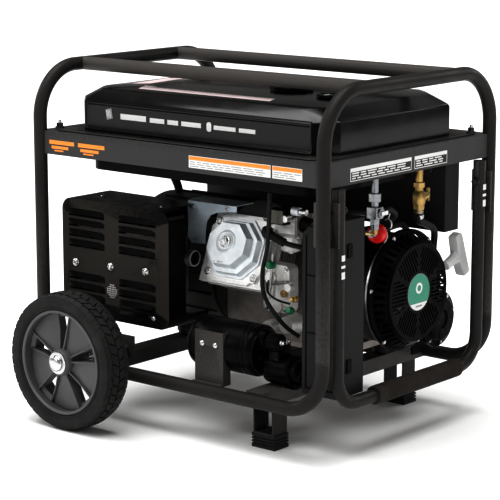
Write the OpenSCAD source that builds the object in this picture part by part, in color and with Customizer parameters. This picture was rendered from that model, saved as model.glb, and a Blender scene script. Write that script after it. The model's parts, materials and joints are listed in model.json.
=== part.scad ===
// Open-frame portable generator: tube cradle, petrol tank, single-cylinder engine,
// alternator, two wheels and a fold-down handle. Millimetres, +Z up, ground at z = 0.
// +X is the recoil-starter and handle end, -Y the long side with the muffler guard.

/* [Frame] */
// Distance between the two end hoops, tube centre to tube centre
frame_l = 716; // [640:1:860]
// Distance between the hoop uprights, tube centre to tube centre
frame_w = 534; // [500:1:640]
// Height of the bottom rails' centre above the ground
rail_z = 102; // [95:1:125]
// Height of the hoops' top bar centre above the ground
hoop_top_z = 690; // [680:1:820]
// Outside diameter of the frame tube
tube_d = 27; // [22:0.5:32]
// Wall of the frame tube
tube_wall = 2; // [1.2:0.1:3]
// Centre-line radius of the hoops' top bends
top_bend_r = 100; // [60:1:120]
// Centre-line radius of the bends up from the bottom rails
bottom_bend_r = 85; // [60:1:110]
// Distance of each top rail from the middle plane
top_rail_y = 144; // [120:1:180]
// Height of the belt panel that carries the tank
belt_h = 46; // [36:1:60]
// Underside of the belt above the ground
belt_z = 519; // [505:1:560]
// Thickness of folded steel sheet
sheet_t = 2; // [1.2:0.1:3]

/* [Wheels and feet] */
// Outside radius of a tyre
tyre_r = 136; // [120:1:150]
// Width of a tyre
tyre_w = 64; // [50:1:75]
// Outside radius of a wheel hub, where the tyre sits
hub_r = 104; // [90:1:110]
// Axle position along the frame from its middle
axle_x = -193; // [-240:1:-150]
// Diameter of the wheel axle
axle_d = 20; // [16:0.5:25]
// Distance of a wheel's inner face from the hoop uprights' centre
wheel_gap = 62; // [50:1:80]
// Radial running clearance of shafts in their bores
run_gap = 0.06; // [0.02:0.01:0.1]
// Foot position along the frame from its middle
foot_x = 190; // [150:1:240]
// Distance of a foot from the middle plane
foot_y = 210; // [180:1:230]
// Height of a rubber foot block
foot_rubber_h = 28; // [20:1:36]

/* [Handle] */
// Outside diameter of the handle tube
handle_d = 25; // [20:0.5:28]
// Distance of a handle leg's centre from the middle plane
handle_y = 229; // [215:0.5:232]
// Height of the crossbar's centre above the ground when folded down
handle_bar_z = 110; // [100:1:150]
// Centre-line radius of the handle's bends
handle_bend_r = 60; // [45:1:80]
// Diameter of the foam grip
grip_d = 37; // [32:0.5:42]
// Diameter of the handle's pivot bolts
pivot_d = 10; // [8:0.5:12]

/* [Tank] */
// Length of the tank's upper shell at its foot
tank_l = 650; // [560:1:660]
// Width of the tank's upper shell at its foot
tank_w = 426; // [380:1:440]
// Height of the upper shell's upright wall
tank_wall_h = 50; // [40:1:60]
// Height of the upper shell from its flange to the crown
tank_h = 88; // [80:1:92]
// Depth of the tank's pan below its flange
pan_h = 76; // [60:1:90]
// Thickness of the tank's sheet
tank_t = 1.2; // [0.8:0.1:2.5]
// Radius of the fuel cap
cap_r = 40; // [35:1:45]

/* [Engine] */
// Crankshaft distance from the middle plane
crank_y = 73; // [60:1:80]
// Crankshaft height above the ground
crank_z = 272; // [265:1:285]
// Cylinder centre along the frame
cyl_x = 26; // [10:1:40]
// Angle of the cylinder above the horizontal
cyl_tilt = 22; // [15:1:30]
// Cylinder bore
bore_d = 90; // [80:1:92]
// Distance from the crankshaft to the top of the cylinder barrel
deck_h = 160; // [150:1:170]
// Thickness of the cylinder head
head_h = 42; // [35:1:50]
// Depth of the valve cover
valve_cover_h = 30; // [25:1:36]
// Radius of the crankcase round the crankshaft
case_r = 96; // [90:1:100]
// Radius of the flywheel and fan
flywheel_r = 98; // [90:1:99]
// Outside radius of the fan housing
fan_case_r = 108; // [106:1:112]
// Outside radius of the recoil cover's rim
recoil_rim_r = 120; // [116:1:122]
// Radius of the recoil cover's front edge
recoil_front_r = 99; // [92:1:104]
// Front plane of the recoil cover along the frame
recoil_x = 330; // [325:1:334]
// Depth of the recoil cover
recoil_depth = 37; // [33:1:40]

/* [Alternator and muffler] */
// Outside radius of the alternator housing
alt_r = 135; // [120:1:136]
// Length of the alternator housing
alt_l = 225; // [200:1:240]
// Outside radius of the rotor
rotor_r = 64; // [50:1:72]
// Outside radius of the stator's lamination stack
stator_r = 108; // [100:1:112]
// Length of the stator's lamination stack
stack_l = 104; // [90:1:140]
// Air gap between rotor and stator
air_gap = 1; // [0.6:0.1:1.5]
// Length of the muffler guard
guard_l = 291; // [260:1:300]
// Height of the muffler guard
guard_h = 238; // [200:1:245]
// Depth of the muffler guard
guard_d = 118; // [100:1:125]

/* [Control panel] */
// Width of the control panel box
panel_l = 628; // [560:1:630]
// Height of the control panel box
panel_h = 150; // [120:1:155]
// Depth of the control panel box
panel_d = 48; // [40:1:50]
// Radius of the rotary engine switch
switch_r = 19; // [14:0.5:24]
// Travel of the start button
button_travel = 3; // [2:0.5:4]

/* [Hidden] */
$fn = 48;

tube_r = tube_d / 2;
hoop_x = frame_l / 2;
upright_y = frame_w / 2;
joint_z = rail_z + bottom_bend_r + 20;
belt_top_z = belt_z + belt_h;
belt_flange_w = 22;

// The handle end's grip reaches further out than the other end's tube.
handle_x = hoop_x + 4;
frame_shift = (hoop_x + tube_r - (handle_x + grip_d / 2)) / 2;

wheel_inner_y = upright_y + wheel_gap;
wheel_mid_y = wheel_inner_y + tyre_w / 2;
hub_w = tyre_w - 10;
hub_boss_r = 28;
nut_h = 12;

cross_w = 40;
cross_h = 29;
cross_top_z = rail_z + cross_h / 2 + 2;
wheel_cross_x = axle_x - 22;
engine_cross_x = foot_x + 5;
ear_t = 5;
ear_y = upright_y - tube_r - 9;
ear_span = 44;

foot_l = 56;
foot_w = 42;
foot_bracket_t = 3;

pivot_z = belt_z - 44;
leg_top_z = belt_z - 4;
bracket_t = 5;
bracket_y = handle_y + handle_d / 2 + 3;
grip_y0 = -115;
grip_y1 = 160;

tank_z = belt_top_z;
flange_t = 2.4;
shell_z = tank_z + flange_t;
cap_x = 100;
cap_y = -35;
neck_r = 30;
gauge_x = 215;
gauge_y = -70;
tank_bolt_x = hoop_x - 20;
tank_bolt_y = upright_y - 35;

shaft_r = 15;
case_x0 = -75;
case_x1 = 205;
mount_h = 25;
base_z = cross_top_z + mount_h;
base_h = 14;
mount_dy = 65;
fan_x0 = case_x1;
fan_x1 = recoil_x - recoil_depth;
flywheel_x = fan_x0 + 28;

alt_x1 = case_x0;
alt_x0 = alt_x1 - alt_l;
alt_wall = 7;
end_cover_t = 20;
stack_x = alt_x0 + 50;

reel_r = 50;
reel_x0 = recoil_x - recoil_depth + 1;
reel_t = 12;
post_r = 8;
rope_x = recoil_x - 20;
rope_r = 2.3;
rope_offset = 14;
rope_angle = 20.5;
rope_reach = 174;
rope_inside = 98;

guard_x0 = -hoop_x + 5;
guard_z = 186;
guard_y = -upright_y + 52;
louvre_pitch = 21;

panel_z = belt_z - panel_h - 4;
panel_y1 = upright_y - 5;
panel_x0 = -hoop_x + 22;
outlet_r = 30;
outlet_x = [-250, -170, -90, -10];
outlet_z = panel_z + panel_h / 2;
switch_x = 230;
switch_z = outlet_z;
button_x = 165;
breaker_x = 85;

can_r = 50;
can_x0 = 14;
can_l = 150;
can_y = -upright_y + 69;
can_z = rail_z + 78;

reg_x1 = 288;
reg_y = 218;
reg_z = 186;
reg_r = 57;
reg_bolt_r = 50;

// ---- helpers ----------------------------------------------------------------

// Shifts the frame so that the origin is under the middle of the whole object.
module place() {
    translate([frame_shift, 0, 0]) children();
}

module mirror_y() {
    children();
    mirror([0, 1, 0]) children();
}

module mirror_x() {
    children();
    mirror([1, 0, 0]) children();
}

module ring(d, wall) {
    difference() {
        circle(d = d);
        circle(d = d - 2 * wall);
    }
}

module pipe(len, d, wall) {
    linear_extrude(len) ring(d, wall);
}

// A cylinder along +X, +Y or +Z from a point.
module rod_x(p, len, r) {
    translate(p) rotate([0, 90, 0]) cylinder(h = len, r = r);
}

module rod_y(p, len, r) {
    translate(p) rotate([-90, 0, 0]) cylinder(h = len, r = r);
}

module rod_z(p, len, r) {
    translate(p) cylinder(h = len, r = r);
}

// A quarter bend in the XZ plane, from a vertical tube at the origin to +X.
module bend_up(r, d, wall) {
    translate([r, 0, 0]) rotate([90, 0, 0]) rotate([0, 0, 90])
        rotate_extrude(angle = 90) translate([r, 0]) ring(d, wall);
}

module block(x, y, z) {
    translate([x[0], y[0], z[0]]) cube([x[1] - x[0], y[1] - y[0], z[1] - z[0]]);
}

// A rectangle with its corners cut off.
module cut_rect(l, w, c) {
    a = l / 2;
    b = w / 2;
    polygon([[a - c, -b], [a, -b + c], [a, b - c], [a - c, b],
        [-a + c, b], [-a, b - c], [-a, -b + c], [-a + c, -b]]);
}

module round_rect(l, w, r) {
    for (s = [-1, 1]) for (t = [-1, 1])
        translate([s * (l / 2 - r), t * (w / 2 - r)]) circle(r = r);
    square([l - 2 * r, w], center = true);
    square([l, w - 2 * r], center = true);
}

module uprights() {
    for (sx = [-1, 1]) for (sy = [-1, 1])
        rod_z([sx * hoop_x, sy * upright_y, rail_z], hoop_top_z - rail_z, tube_r);
}

// Local +Z runs up the cylinder from the crankshaft; local X is along the crankshaft.
module at_cylinder(h = 0) {
    translate([cyl_x, crank_y, crank_z]) rotate([90 - cyl_tilt, 0, 0])
        translate([0, 0, h]) children();
}

// Local +Y runs along the starter rope, from a point on the rope nearest the crankshaft.
module at_rope() {
    translate([rope_x, crank_y, crank_z]) rotate([rope_angle, 0, 0])
        translate([0, 0, -rope_offset]) children();
}

// ---- frame ------------------------------------------------------------------

module hoop() {
    leg = hoop_top_z - top_bend_r - joint_z;
    color("dimgray") place() {
        both_legs() pipe(leg, tube_d, tube_wall);
        both_legs() translate([0, 0, leg]) rotate([0, 0, 90])
            bend_up(top_bend_r, tube_d, tube_wall);
        translate([0, -(upright_y - top_bend_r), hoop_top_z]) rotate([-90, 0, 0])
            pipe(frame_w - 2 * top_bend_r, tube_d, tube_wall);
    }
}

module both_legs() {
    translate([0, -upright_y, joint_z]) children();
    mirror([0, 1, 0]) translate([0, -upright_y, joint_z]) children();
}

module hoop_engine_end() {
    translate([hoop_x, 0, 0]) hoop();
}

module hoop_wheel_end() {
    translate([-hoop_x, 0, 0]) hoop();
}

module bottom_rail() {
    run = frame_l - 2 * bottom_bend_r;
    translate([0, upright_y, 0]) {
        translate([-run / 2, 0, rail_z]) rotate([0, 90, 0]) pipe(run, tube_d, tube_wall);
        mirror_x() translate([hoop_x, 0, rail_z + bottom_bend_r]) {
            mirror([1, 0, 0]) mirror([0, 0, 1]) bend_up(bottom_bend_r, tube_d, tube_wall);
            pipe(joint_z - rail_z - bottom_bend_r, tube_d, tube_wall);
        }
    }
}

module bottom_rails() {
    color("dimgray") place() mirror_y() bottom_rail();
}

module top_rails() {
    color("dimgray") place() mirror_y() difference() {
        translate([-hoop_x, top_rail_y, hoop_top_z]) rotate([0, 90, 0])
            pipe(frame_l, tube_d, tube_wall);
        mirror_x() rod_y([hoop_x, 0, hoop_top_z], upright_y, tube_r);
    }
}

// A channel section, open below, between the two bottom rails.
module channel(x) {
    half = upright_y;
    difference() {
        block([x - cross_w / 2, x + cross_w / 2], [-half, half],
            [cross_top_z - cross_h, cross_top_z]);
        block([x - cross_w / 2 + sheet_t * 1.5, x + cross_w / 2 - sheet_t * 1.5],
            [-half - 1, half + 1], [cross_top_z - cross_h - 1, cross_top_z - sheet_t * 1.5]);
        mirror_y() rod_x([x - cross_w, upright_y, rail_z], 2 * cross_w, tube_r);
        mirror_y() block([x - cross_w, x + cross_w], [upright_y - 4, upright_y + 40],
            [rail_z - 40, rail_z + 60]);
    }
}

module crossmembers() {
    color("dimgray") place() {
        channel(engine_cross_x);
        difference() {
            union() {
                channel(wheel_cross_x);
                mirror_y() for (y = [ear_y, ear_y - ear_span])
                    block([wheel_cross_x - cross_w / 2, axle_x + axle_d],
                        [y - ear_t, y], [cross_top_z - 6, tyre_r + axle_d]);
            }
            rod_y([axle_x, -ear_y - 1, tyre_r], 2 * ear_y + 2, axle_d / 2);
        }
    }
}

module belt_sides() {
    color("#3a3a3c") place() mirror_y() difference() {
        union() {
            block([-hoop_x, hoop_x], [upright_y, upright_y + sheet_t], [belt_z, belt_top_z]);
            block([-hoop_x, hoop_x], [upright_y - belt_flange_w, upright_y + sheet_t],
                [belt_top_z - sheet_t, belt_top_z]);
            block([-hoop_x, hoop_x], [upright_y - 10, upright_y + sheet_t],
                [belt_z, belt_z + sheet_t]);
        }
        uprights();
        mirror_x() block([hoop_x - 2, hoop_x + 20], [0, upright_y + 40],
            [belt_z - 1, belt_top_z + 1]);
        mirror_x() block([hoop_x - belt_flange_w - 0.2, hoop_x + 20],
            [0, upright_y - tube_r + 0.1], [belt_z - 1, belt_top_z + 1]);
    }
}

module belt_ends() {
    end_y = upright_y - 2;
    color("#3a3a3c") place() mirror_x() difference() {
        union() {
            block([hoop_x + 2, hoop_x + 2 + sheet_t], [-end_y, end_y], [belt_z, belt_top_z]);
            block([hoop_x - belt_flange_w, hoop_x + 2 + sheet_t],
                [-upright_y + tube_r, upright_y - tube_r], [belt_top_z - sheet_t, belt_top_z]);
        }
        uprights();
    }
}

// ---- wheels and feet --------------------------------------------------------

// Each wheel turns on its own short axle, welded through two ears of the crossmember.
module stub_axles() {
    y0 = ear_y - ear_span - ear_t - 3;
    color("silver") place() mirror_y()
        rod_y([axle_x, y0, tyre_r], wheel_inner_y + tyre_w + 2 - y0, axle_d / 2);
}

// Tyre section turned round the wheel's own axis, wheel centred on the origin.
module tyre() {
    half = tyre_w / 2;
    rotate([90, 0, 0]) rotate_extrude($fn = 96) polygon([
        [hub_r, -half + 8], [hub_r + 14, -half], [tyre_r - 9, -half + 1], [tyre_r, -half + 9],
        [tyre_r, half - 9], [tyre_r - 9, half - 1], [hub_r + 14, half], [hub_r, half - 8]]);
}

module hub_window() {
    inner = hub_boss_r + 16;
    outer = hub_r - 14;
    linear_extrude(hub_w + 2, center = true) polygon([
        [inner * cos(-4), inner * sin(-4)],
        [outer * cos(-16), outer * sin(-16)],
        [outer * cos(18), outer * sin(18)]]);
}

module hub() {
    half = hub_w / 2;
    difference() {
        rotate([90, 0, 0]) rotate_extrude($fn = 96) polygon([
            [axle_d / 2 + run_gap, -half - 4], [hub_boss_r, -half - 4], [hub_boss_r, -5],
            [hub_r - 7, -5], [hub_r - 7, -half], [hub_r, -half],
            [hub_r, half], [hub_r - 7, half], [hub_r - 7, 5],
            [hub_boss_r, 12], [hub_boss_r, half + 4], [axle_d / 2 + run_gap, half + 4]]);
        rotate([90, 0, 0]) for (i = [0:4]) rotate([0, 0, i * 72]) hub_window();
    }
}

module at_wheel(side) {
    place() translate([axle_x, side * wheel_mid_y, tyre_r]) rotate([0, 0, side < 0 ? 0 : 180])
        children();
}

module tyre_near() {
    color("#1c1c1c") at_wheel(-1) tyre();
}

module hub_near() {
    color("#2e2e30") at_wheel(-1) hub();
}

module tyre_far() {
    color("#1c1c1c") at_wheel(1) tyre();
}

module hub_far() {
    color("#2e2e30") at_wheel(1) hub();
}

// Collars that hold the wheels: a dome nut outside and a spacer tube inside.
module axle_nuts() {
    nut_y = wheel_mid_y + hub_w / 2 + 4.5;
    color("silver") place() mirror_y() {
        difference() {
            union() {
                rod_y([axle_x, nut_y, tyre_r], nut_h, 17);
                rod_y([axle_x, nut_y, tyre_r], 3, 22);
            }
            rod_y([axle_x, nut_y - 1, tyre_r], wheel_inner_y + tyre_w + 3 - nut_y, axle_d / 2);
        }
        difference() {
            rod_y([axle_x, ear_y, tyre_r], wheel_mid_y - hub_w / 2 - 4.5 - ear_y, 14);
            rod_y([axle_x, ear_y - 1, tyre_r], wheel_mid_y, axle_d / 2);
        }
    }
}

module foot_bracket() {
    top = cross_top_z - cross_h;
    translate([foot_x, foot_y, 0]) difference() {
        union() {
            block([-foot_l / 2 + 4, foot_l / 2 - 4], [-foot_w / 2, foot_w / 2],
                [foot_rubber_h, foot_rubber_h + foot_bracket_t]);
            block([-foot_l / 2 + 4, foot_l / 2 - 4], [-foot_w / 2, foot_w / 2],
                [top - foot_bracket_t, top]);
            for (s = [-1, 1]) translate([s * (foot_l / 2 - 5.5), 0, 0])
                block([-1.5, 1.5], [-foot_w / 2, foot_w / 2], [foot_rubber_h, top]);
        }
        rod_z([0, 0, foot_rubber_h - 1], foot_bracket_t + 2, 4.5);
    }
}

module foot_brackets() {
    color("#303032") place() mirror_y() foot_bracket();
}

module rubber_foot() {
    translate([foot_x, foot_y, 0]) difference() {
        union() {
            block([-foot_l / 2, foot_l / 2], [-foot_w / 2, foot_w / 2], [0, foot_rubber_h]);
            rod_z([0, 0, foot_rubber_h], foot_bracket_t, 4.4);
            rod_z([0, 0, foot_rubber_h + foot_bracket_t], 6, 9);
        }
        for (i = [0:2]) translate([0, 0, 7 + i * 6]) difference() {
            block([-foot_l, foot_l], [-foot_w, foot_w], [0, 2.5]);
            block([-foot_l / 2 + 2, foot_l / 2 - 2], [-foot_w / 2 + 2, foot_w / 2 - 2], [-1, 4]);
        }
    }
}

module rubber_feet() {
    color("#181818") place() mirror_y() rubber_foot();
}

// ---- handle -----------------------------------------------------------------

module handle_leg() {
    translate([handle_x, -handle_y, handle_bar_z + handle_bend_r]) difference() {
        union() {
            pipe(leg_top_z - handle_bar_z - handle_bend_r, handle_d, tube_wall);
            translate([0, 0, leg_top_z - handle_bar_z - handle_bend_r - 3])
                cylinder(h = 3, d = handle_d);
            rod_y([0, -handle_d / 2 + 1, pivot_z - handle_bar_z - handle_bend_r],
                handle_d - 2, pivot_d / 2 + 3);
        }
        rod_y([0, -handle_d, pivot_z - handle_bar_z - handle_bend_r], 2 * handle_d,
            pivot_d / 2 + run_gap);
    }
    translate([handle_x, -handle_y, handle_bar_z + handle_bend_r]) rotate([0, 0, 90])
        mirror([0, 0, 1]) bend_up(handle_bend_r, handle_d, tube_wall);
}

module handle_tube() {
    color("dimgray") place() {
        mirror_y() handle_leg();
        translate([handle_x, -handle_y + handle_bend_r, handle_bar_z]) rotate([-90, 0, 0])
            pipe(2 * (handle_y - handle_bend_r), handle_d, tube_wall);
    }
}

module handle_grip() {
    color("#2a2624") place() translate([handle_x, grip_y0, handle_bar_z]) rotate([-90, 0, 0])
        difference() {
            cylinder(h = grip_y1 - grip_y0, d = grip_d);
            translate([0, 0, -1]) cylinder(h = grip_y1 - grip_y0 + 2, d = handle_d);
        }
}

// A slotted plate on the inner side of an upright, with a stop pin below the pivot.
module handle_bracket() {
    slot_z = pivot_z - 50;
    difference() {
        union() {
            block([hoop_x - 24, handle_x + 16], [bracket_y, bracket_y + bracket_t],
                [slot_z - 14, pivot_z + 18]);
            block([hoop_x - 24, hoop_x - 10], [bracket_y, upright_y - 2],
                [slot_z - 14, pivot_z + 18]);
        }
        rod_y([handle_x, bracket_y - 1, pivot_z], bracket_t + 2, pivot_d / 2);
        block([handle_x - 4, handle_x + 4], [bracket_y - 1, bracket_y + bracket_t + 1],
            [slot_z, pivot_z - 16]);
        uprights();
    }
}

module handle_brackets() {
    color("#3a3a3c") place() mirror_y() handle_bracket();
}

module handle_bolts() {
    head_y = handle_y - handle_d / 2 - 0.6;
    color("silver") place() mirror_y() {
        rod_y([handle_x, head_y, pivot_z], bracket_y + bracket_t - head_y, pivot_d / 2);
        rod_y([handle_x, head_y - 7, pivot_z], 7, 9);
        difference() {
            rod_y([handle_x, handle_y + handle_d / 2 + 0.5, pivot_z],
                bracket_y - handle_y - handle_d / 2 - 0.5, 9);
            rod_y([handle_x, 0, pivot_z], upright_y, pivot_d / 2);
        }
    }
}

// ---- tank -------------------------------------------------------------------

module tank_lower() {
    pan_l = tank_l - 82;
    pan_w = tank_w - 4;
    color("#202022") place() translate([0, 0, tank_z - pan_h]) difference() {
        union() {
            linear_extrude(pan_h) round_rect(pan_l, pan_w, 40);
            translate([0, 0, pan_h])
                linear_extrude(flange_t) cut_rect(frame_l - 16, frame_w - 18, 34);
        }
        translate([0, 0, tank_t])
            linear_extrude(pan_h + flange_t) round_rect(pan_l - 2 * tank_t, pan_w - 2 * tank_t, 38);
        for (sx = [-1, 1]) for (sy = [-1, 1])
            rod_z([sx * tank_bolt_x, sy * tank_bolt_y, pan_h - 1], flange_t + 2, 4);
    }
}

// The upper shell's outline, shrunk by d on every side.
module shell_body(d) {
    top = tank_h - d;
    hull() {
        translate([0, 0, d > 0 ? -1 : 0]) linear_extrude(tank_wall_h + (d > 0 ? 1 : 0))
            cut_rect(tank_l - 2 * d, tank_w - 2 * d, 38);
        translate([0, 0, top - 7]) linear_extrude(1)
            cut_rect(tank_l - 64 - 2 * d, tank_w - 40 - 2 * d, 46);
        translate([0, 0, top - 1]) linear_extrude(1)
            cut_rect(tank_l - 260 - 2 * d, tank_w - 190 - 2 * d, 46);
    }
}

module tank_upper() {
    color("#121214") place() translate([0, 0, shell_z]) difference() {
        union() {
            difference() {
                shell_body(0);
                shell_body(tank_t);
            }
            rod_z([cap_x, cap_y, tank_h - 12], 16, neck_r);
        }
        rod_z([cap_x, cap_y, tank_h - 40], 60, neck_r - 4);
        rod_z([gauge_x, gauge_y, tank_h - 40], 60, 12);
    }
}

module tank_bolts() {
    color("#58585c") place() for (sx = [-1, 1]) for (sy = [-1, 1])
        translate([sx * tank_bolt_x, sy * tank_bolt_y, shell_z]) {
            cylinder(h = 3, r = 9);
            translate([0, 0, 3]) cylinder(h = 7, r = 7, $fn = 6);
            translate([0, 0, 10]) cylinder(h = 6, r = 4);
            translate([0, 0, -flange_t]) cylinder(h = flange_t, r = 3.9);
        }
}

module fuel_cap() {
    top = shell_z + tank_h;
    color("#161616") place() translate([cap_x, cap_y, top + 0.4]) difference() {
        union() {
            cylinder(h = 12, r = cap_r);
            for (i = [0:7]) rotate([0, 0, i * 45]) translate([cap_r - 4, -4, 1])
                cube([7, 8, 10]);
        }
        translate([0, 0, -1]) cylinder(h = 6, r = neck_r + 0.4);
    }
}

module fuel_gauge() {
    top = shell_z + tank_h;
    color("#202020") place() translate([gauge_x, gauge_y, top - 20]) {
        cylinder(h = 20, r = 11.9);
        translate([0, 0, 20]) cylinder(h = 6, r = 22);
    }
}

// A shut-off valve hung under the belt: body, pipe, union nut, lower nipple, side port.
module valve(p, half, body_h, pipe_r, nut, nipple) {
    top = p[2] + body_h;
    block([p[0] - half, p[0] + half], [p[1] - half, p[1] + half], [p[2], top]);
    rod_z([p[0], p[1], top], belt_z - top, pipe_r);
    rod_z([p[0], p[1], top + nut[0]], nut[1], nut[2]);
    rod_z([p[0], p[1], p[2] - nipple[0]], nipple[0], nipple[1]);
}

fuel_valve_at = [305, -40, belt_z - 89];
lpg_valve_at = [300, 112, belt_z - 83];

module fuel_valve() {
    color("silver") place() {
        valve(fuel_valve_at, 13, 22, 7, [10, 16, 13], [22, 10]);
        rod_y(fuel_valve_at + [0, 13, 11], 18, 6);
    }
}

module lpg_valve() {
    color("#b08a45") place() {
        valve(lpg_valve_at, 12, 26, 7, [8, 10, 12], [18, 9]);
        rod_y(lpg_valve_at + [0, 12, 16], 16, 7);
        translate(lpg_valve_at + [-3, 28, 4]) cube([6, 5, 26]);
    }
}

// ---- hoses and wiring -------------------------------------------------------

function unit(v) = v / norm(v);

// Catmull-Rom point between p[i] and p[i + 1].
function spline_at(p, i, t) =
    let (a = p[max(i - 1, 0)], b = p[i], c = p[i + 1], d = p[min(i + 2, len(p) - 1)])
    0.5 * ((2 * b) + (c - a) * t + (2 * a - 5 * b + 4 * c - d) * t * t
        + (3 * b - a - 3 * c + d) * t * t * t);

function spline(p, n) = concat(
    [for (i = [0:len(p) - 2]) for (k = [0:n - 1]) spline_at(p, i, k / n)], [p[len(p) - 1]]);

function tangent(q, i) = unit(q[min(i + 1, len(q) - 1)] - q[max(i - 1, 0)]);

// Carries a normal along the path without twisting it.
function carried(q, i) = i == 0
    ? unit(cross(tangent(q, 0), [0.31, 0.53, 0.79]))
    : let (t = tangent(q, i), m = carried(q, i - 1)) unit(m - t * (m * t));

module hose(points, r, n = 4, sides = 8) {
    q = spline(points, n);
    rings = [for (i = [0:len(q) - 1])
        let (t = tangent(q, i), u = carried(q, i), v = cross(t, u))
        for (k = [0:sides - 1]) q[i] + r * (cos(k * 360 / sides) * u + sin(k * 360 / sides) * v)];
    last = (len(q) - 1) * sides;
    faces = concat(
        [[for (k = [0:sides - 1]) k]],
        [[for (k = [0:sides - 1]) last + sides - 1 - k]],
        [for (i = [0:len(q) - 2]) for (k = [0:sides - 1]) let (j = (k + 1) % sides)
            [i * sides + k, (i + 1) * sides + k, (i + 1) * sides + j, i * sides + j]]);
    polyhedron(rings, faces);
}

lpg_route = [[300, 112, 417.8], [300, 112, 404], [294, 146, 392], [286, 186, 372],
    [274, 202, 330], [266, 212, 285], [268, 218, 260], [268, 218, 243.2]];
fuel_route = [[305, -8.8, 441], [305, 6, 441], [298, 34, 424], [270, 20, 402], [238, -50, 396],
    [214, -80, 402], [206, -92, 408], [198.3, -92, 410]];
mix_route = [[239.8, 205, 196], [224, 203, 200], [206, 196, 250], [192, 180, 330],
    [188, 110, 404], [182, 0, 420], [174, -40, 411], [173, -55.8, 410]];
harness_route = [[-328, 213.8, 470], [-328, 196, 474], [-322, 140, 516], [-304, 84, 530],
    [-297, 60, 500], [-293, 55, 450], [-284, 60, 420], [-282, 62, 407.2]];
wire_route = [[-290, 52, 470], [-262, 84, 480], [-200, 130, 478], [-150, 196, 470],
    [-146, 213.8, 468]];

module hoses() {
    color("#161616") place() {
        hose(lpg_route, 7);
        hose(fuel_route, 6);
        hose(mix_route, 8);
    }
}

module harness() {
    color("#111111") place() {
        hose(harness_route, 9);
        hose(wire_route, 3, sides = 6);
    }
}

// ---- muffler side -----------------------------------------------------------

module guard_slot(x, z, h) {
    block(guard_x0 + x, [guard_y - 1, guard_y + 4], [z, z + h]);
}

module guard_louvres() {
    near_col = [18, 118];
    far_col = [157, 256];
    top_z = guard_z + guard_h - 36;
    low_z = guard_z + 72;
    for (col = [near_col, far_col]) for (i = [0:3]) guard_slot(col, top_z - i * louvre_pitch, 6);
    for (i = [0:2]) guard_slot(near_col, low_z - i * louvre_pitch, 6);
    guard_slot([155, 237], guard_z + 17, 9);
}

module muffler_guard() {
    x1 = guard_x0 + guard_l;
    corner_r = 24;
    mid = [guard_x0 + guard_l / 2, guard_y, guard_z + guard_h / 2];
    notch = [50, 68, 128];
    color("#1e1d1c") place() difference() {
        translate(mid) rotate([-90, 0, 0])
            linear_extrude(guard_d) round_rect(guard_l, guard_h, corner_r);
        translate(mid + [0, sheet_t, 0]) rotate([-90, 0, 0]) linear_extrude(guard_d)
            round_rect(guard_l - 2 * sheet_t, guard_h - 2 * sheet_t, corner_r - 2);
        guard_louvres();
        rod_y([guard_x0 + 138, guard_y - 1, guard_z + 60], 4, 15);
        translate([x1 - notch[0], guard_y + guard_d - notch[1], guard_z + guard_h - notch[2]])
            cube(notch + [1, 1, 1]);
        rod_x([x1 - 20, muffler_y, outlet_pipe_z], 40, pipe_r + 0.5);
    }
}

pipe_r = 16;
muffler_y = guard_y + guard_d / 2 + 2;
outlet_pipe_z = guard_z + guard_h / 2 + 20;

module muffler() {
    len = guard_l - 75;
    x0 = guard_x0 + 30;
    size = [guard_h - 60, guard_d - 22];
    skin = 2;
    color("#5c5650") place() {
        difference() {
            translate([x0, muffler_y, guard_z + guard_h / 2]) rotate([0, 90, 0])
                linear_extrude(len) round_rect(size[0], size[1], 40);
            translate([x0 + skin, muffler_y, guard_z + guard_h / 2]) rotate([0, 90, 0])
                linear_extrude(len - 2 * skin)
                round_rect(size[0] - 2 * skin, size[1] - 2 * skin, 38);
            rod_x([x0 + len - 5, muffler_y, outlet_pipe_z], 10, pipe_r - 1);
        }
        difference() {
            rod_x([x0 + len, muffler_y, outlet_pipe_z], 60, pipe_r);
            rod_x([x0 + len - 1, muffler_y, outlet_pipe_z], 62, pipe_r - skin);
        }
    }
}

// A bent sheet between the muffler and the cylinder head, cut away round the head.
module heat_shield() {
    x = [-104, 24];
    y = [-112, -60];
    z = [guard_z + 159, guard_z + guard_h + 8];
    color("#8b949c") place() difference() {
        union() {
            block(x, [y[0], y[0] + sheet_t], z);
            block(x, y, [z[1] - sheet_t, z[1]]);
            block([x[0], x[0] + sheet_t], y, z);
        }
        at_cylinder() translate([0, 0, 60]) cube([158, 150, 400], center = true);
        translate([x[0] - 2, y[0] - 8, z[0]]) rotate([0, 45, 0])
            cube([26, 70, 26], center = true);
    }
}

// ---- alternator -------------------------------------------------------------

module alternator_housing() {
    color("#1b1b1c") place() {
        difference() {
            union() {
                rod_x([alt_x0, crank_y, crank_z], alt_l, alt_r);
                mirror_feet() block([wheel_cross_x - 22, wheel_cross_x + 22], [-22, 22],
                    [base_z, base_z + 34]);
            }
            rod_x([alt_x0 - 1, crank_y, crank_z], alt_l - 11, alt_r - alt_wall);
            rod_x([alt_x0 - 1, crank_y, crank_z], alt_l + 2, shaft_r + 20);
        }
    }
}

module mirror_feet() {
    for (s = [-1, 1]) translate([0, crank_y + s * mount_dy, 0]) children();
}

module alternator_end_cover() {
    color("#202022") place() difference() {
        union() {
            rod_x([alt_x0 - end_cover_t, crank_y, crank_z], end_cover_t, alt_r - 3);
            rod_x([alt_x0 - end_cover_t - 8, crank_y, crank_z], 10, 45);
        }
        rod_x([alt_x0 - end_cover_t + 4, crank_y, crank_z], end_cover_t, alt_r - 10);
        rod_x([alt_x0 - end_cover_t - 4, crank_y, crank_z], end_cover_t, shaft_r + run_gap);
        for (i = [0:11]) translate([alt_x0 - end_cover_t - 1, crank_y, crank_z])
            rotate([i * 30, 0, 0]) translate([0, -4, 62]) cube([6, 8, 48]);
    }
}

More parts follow.
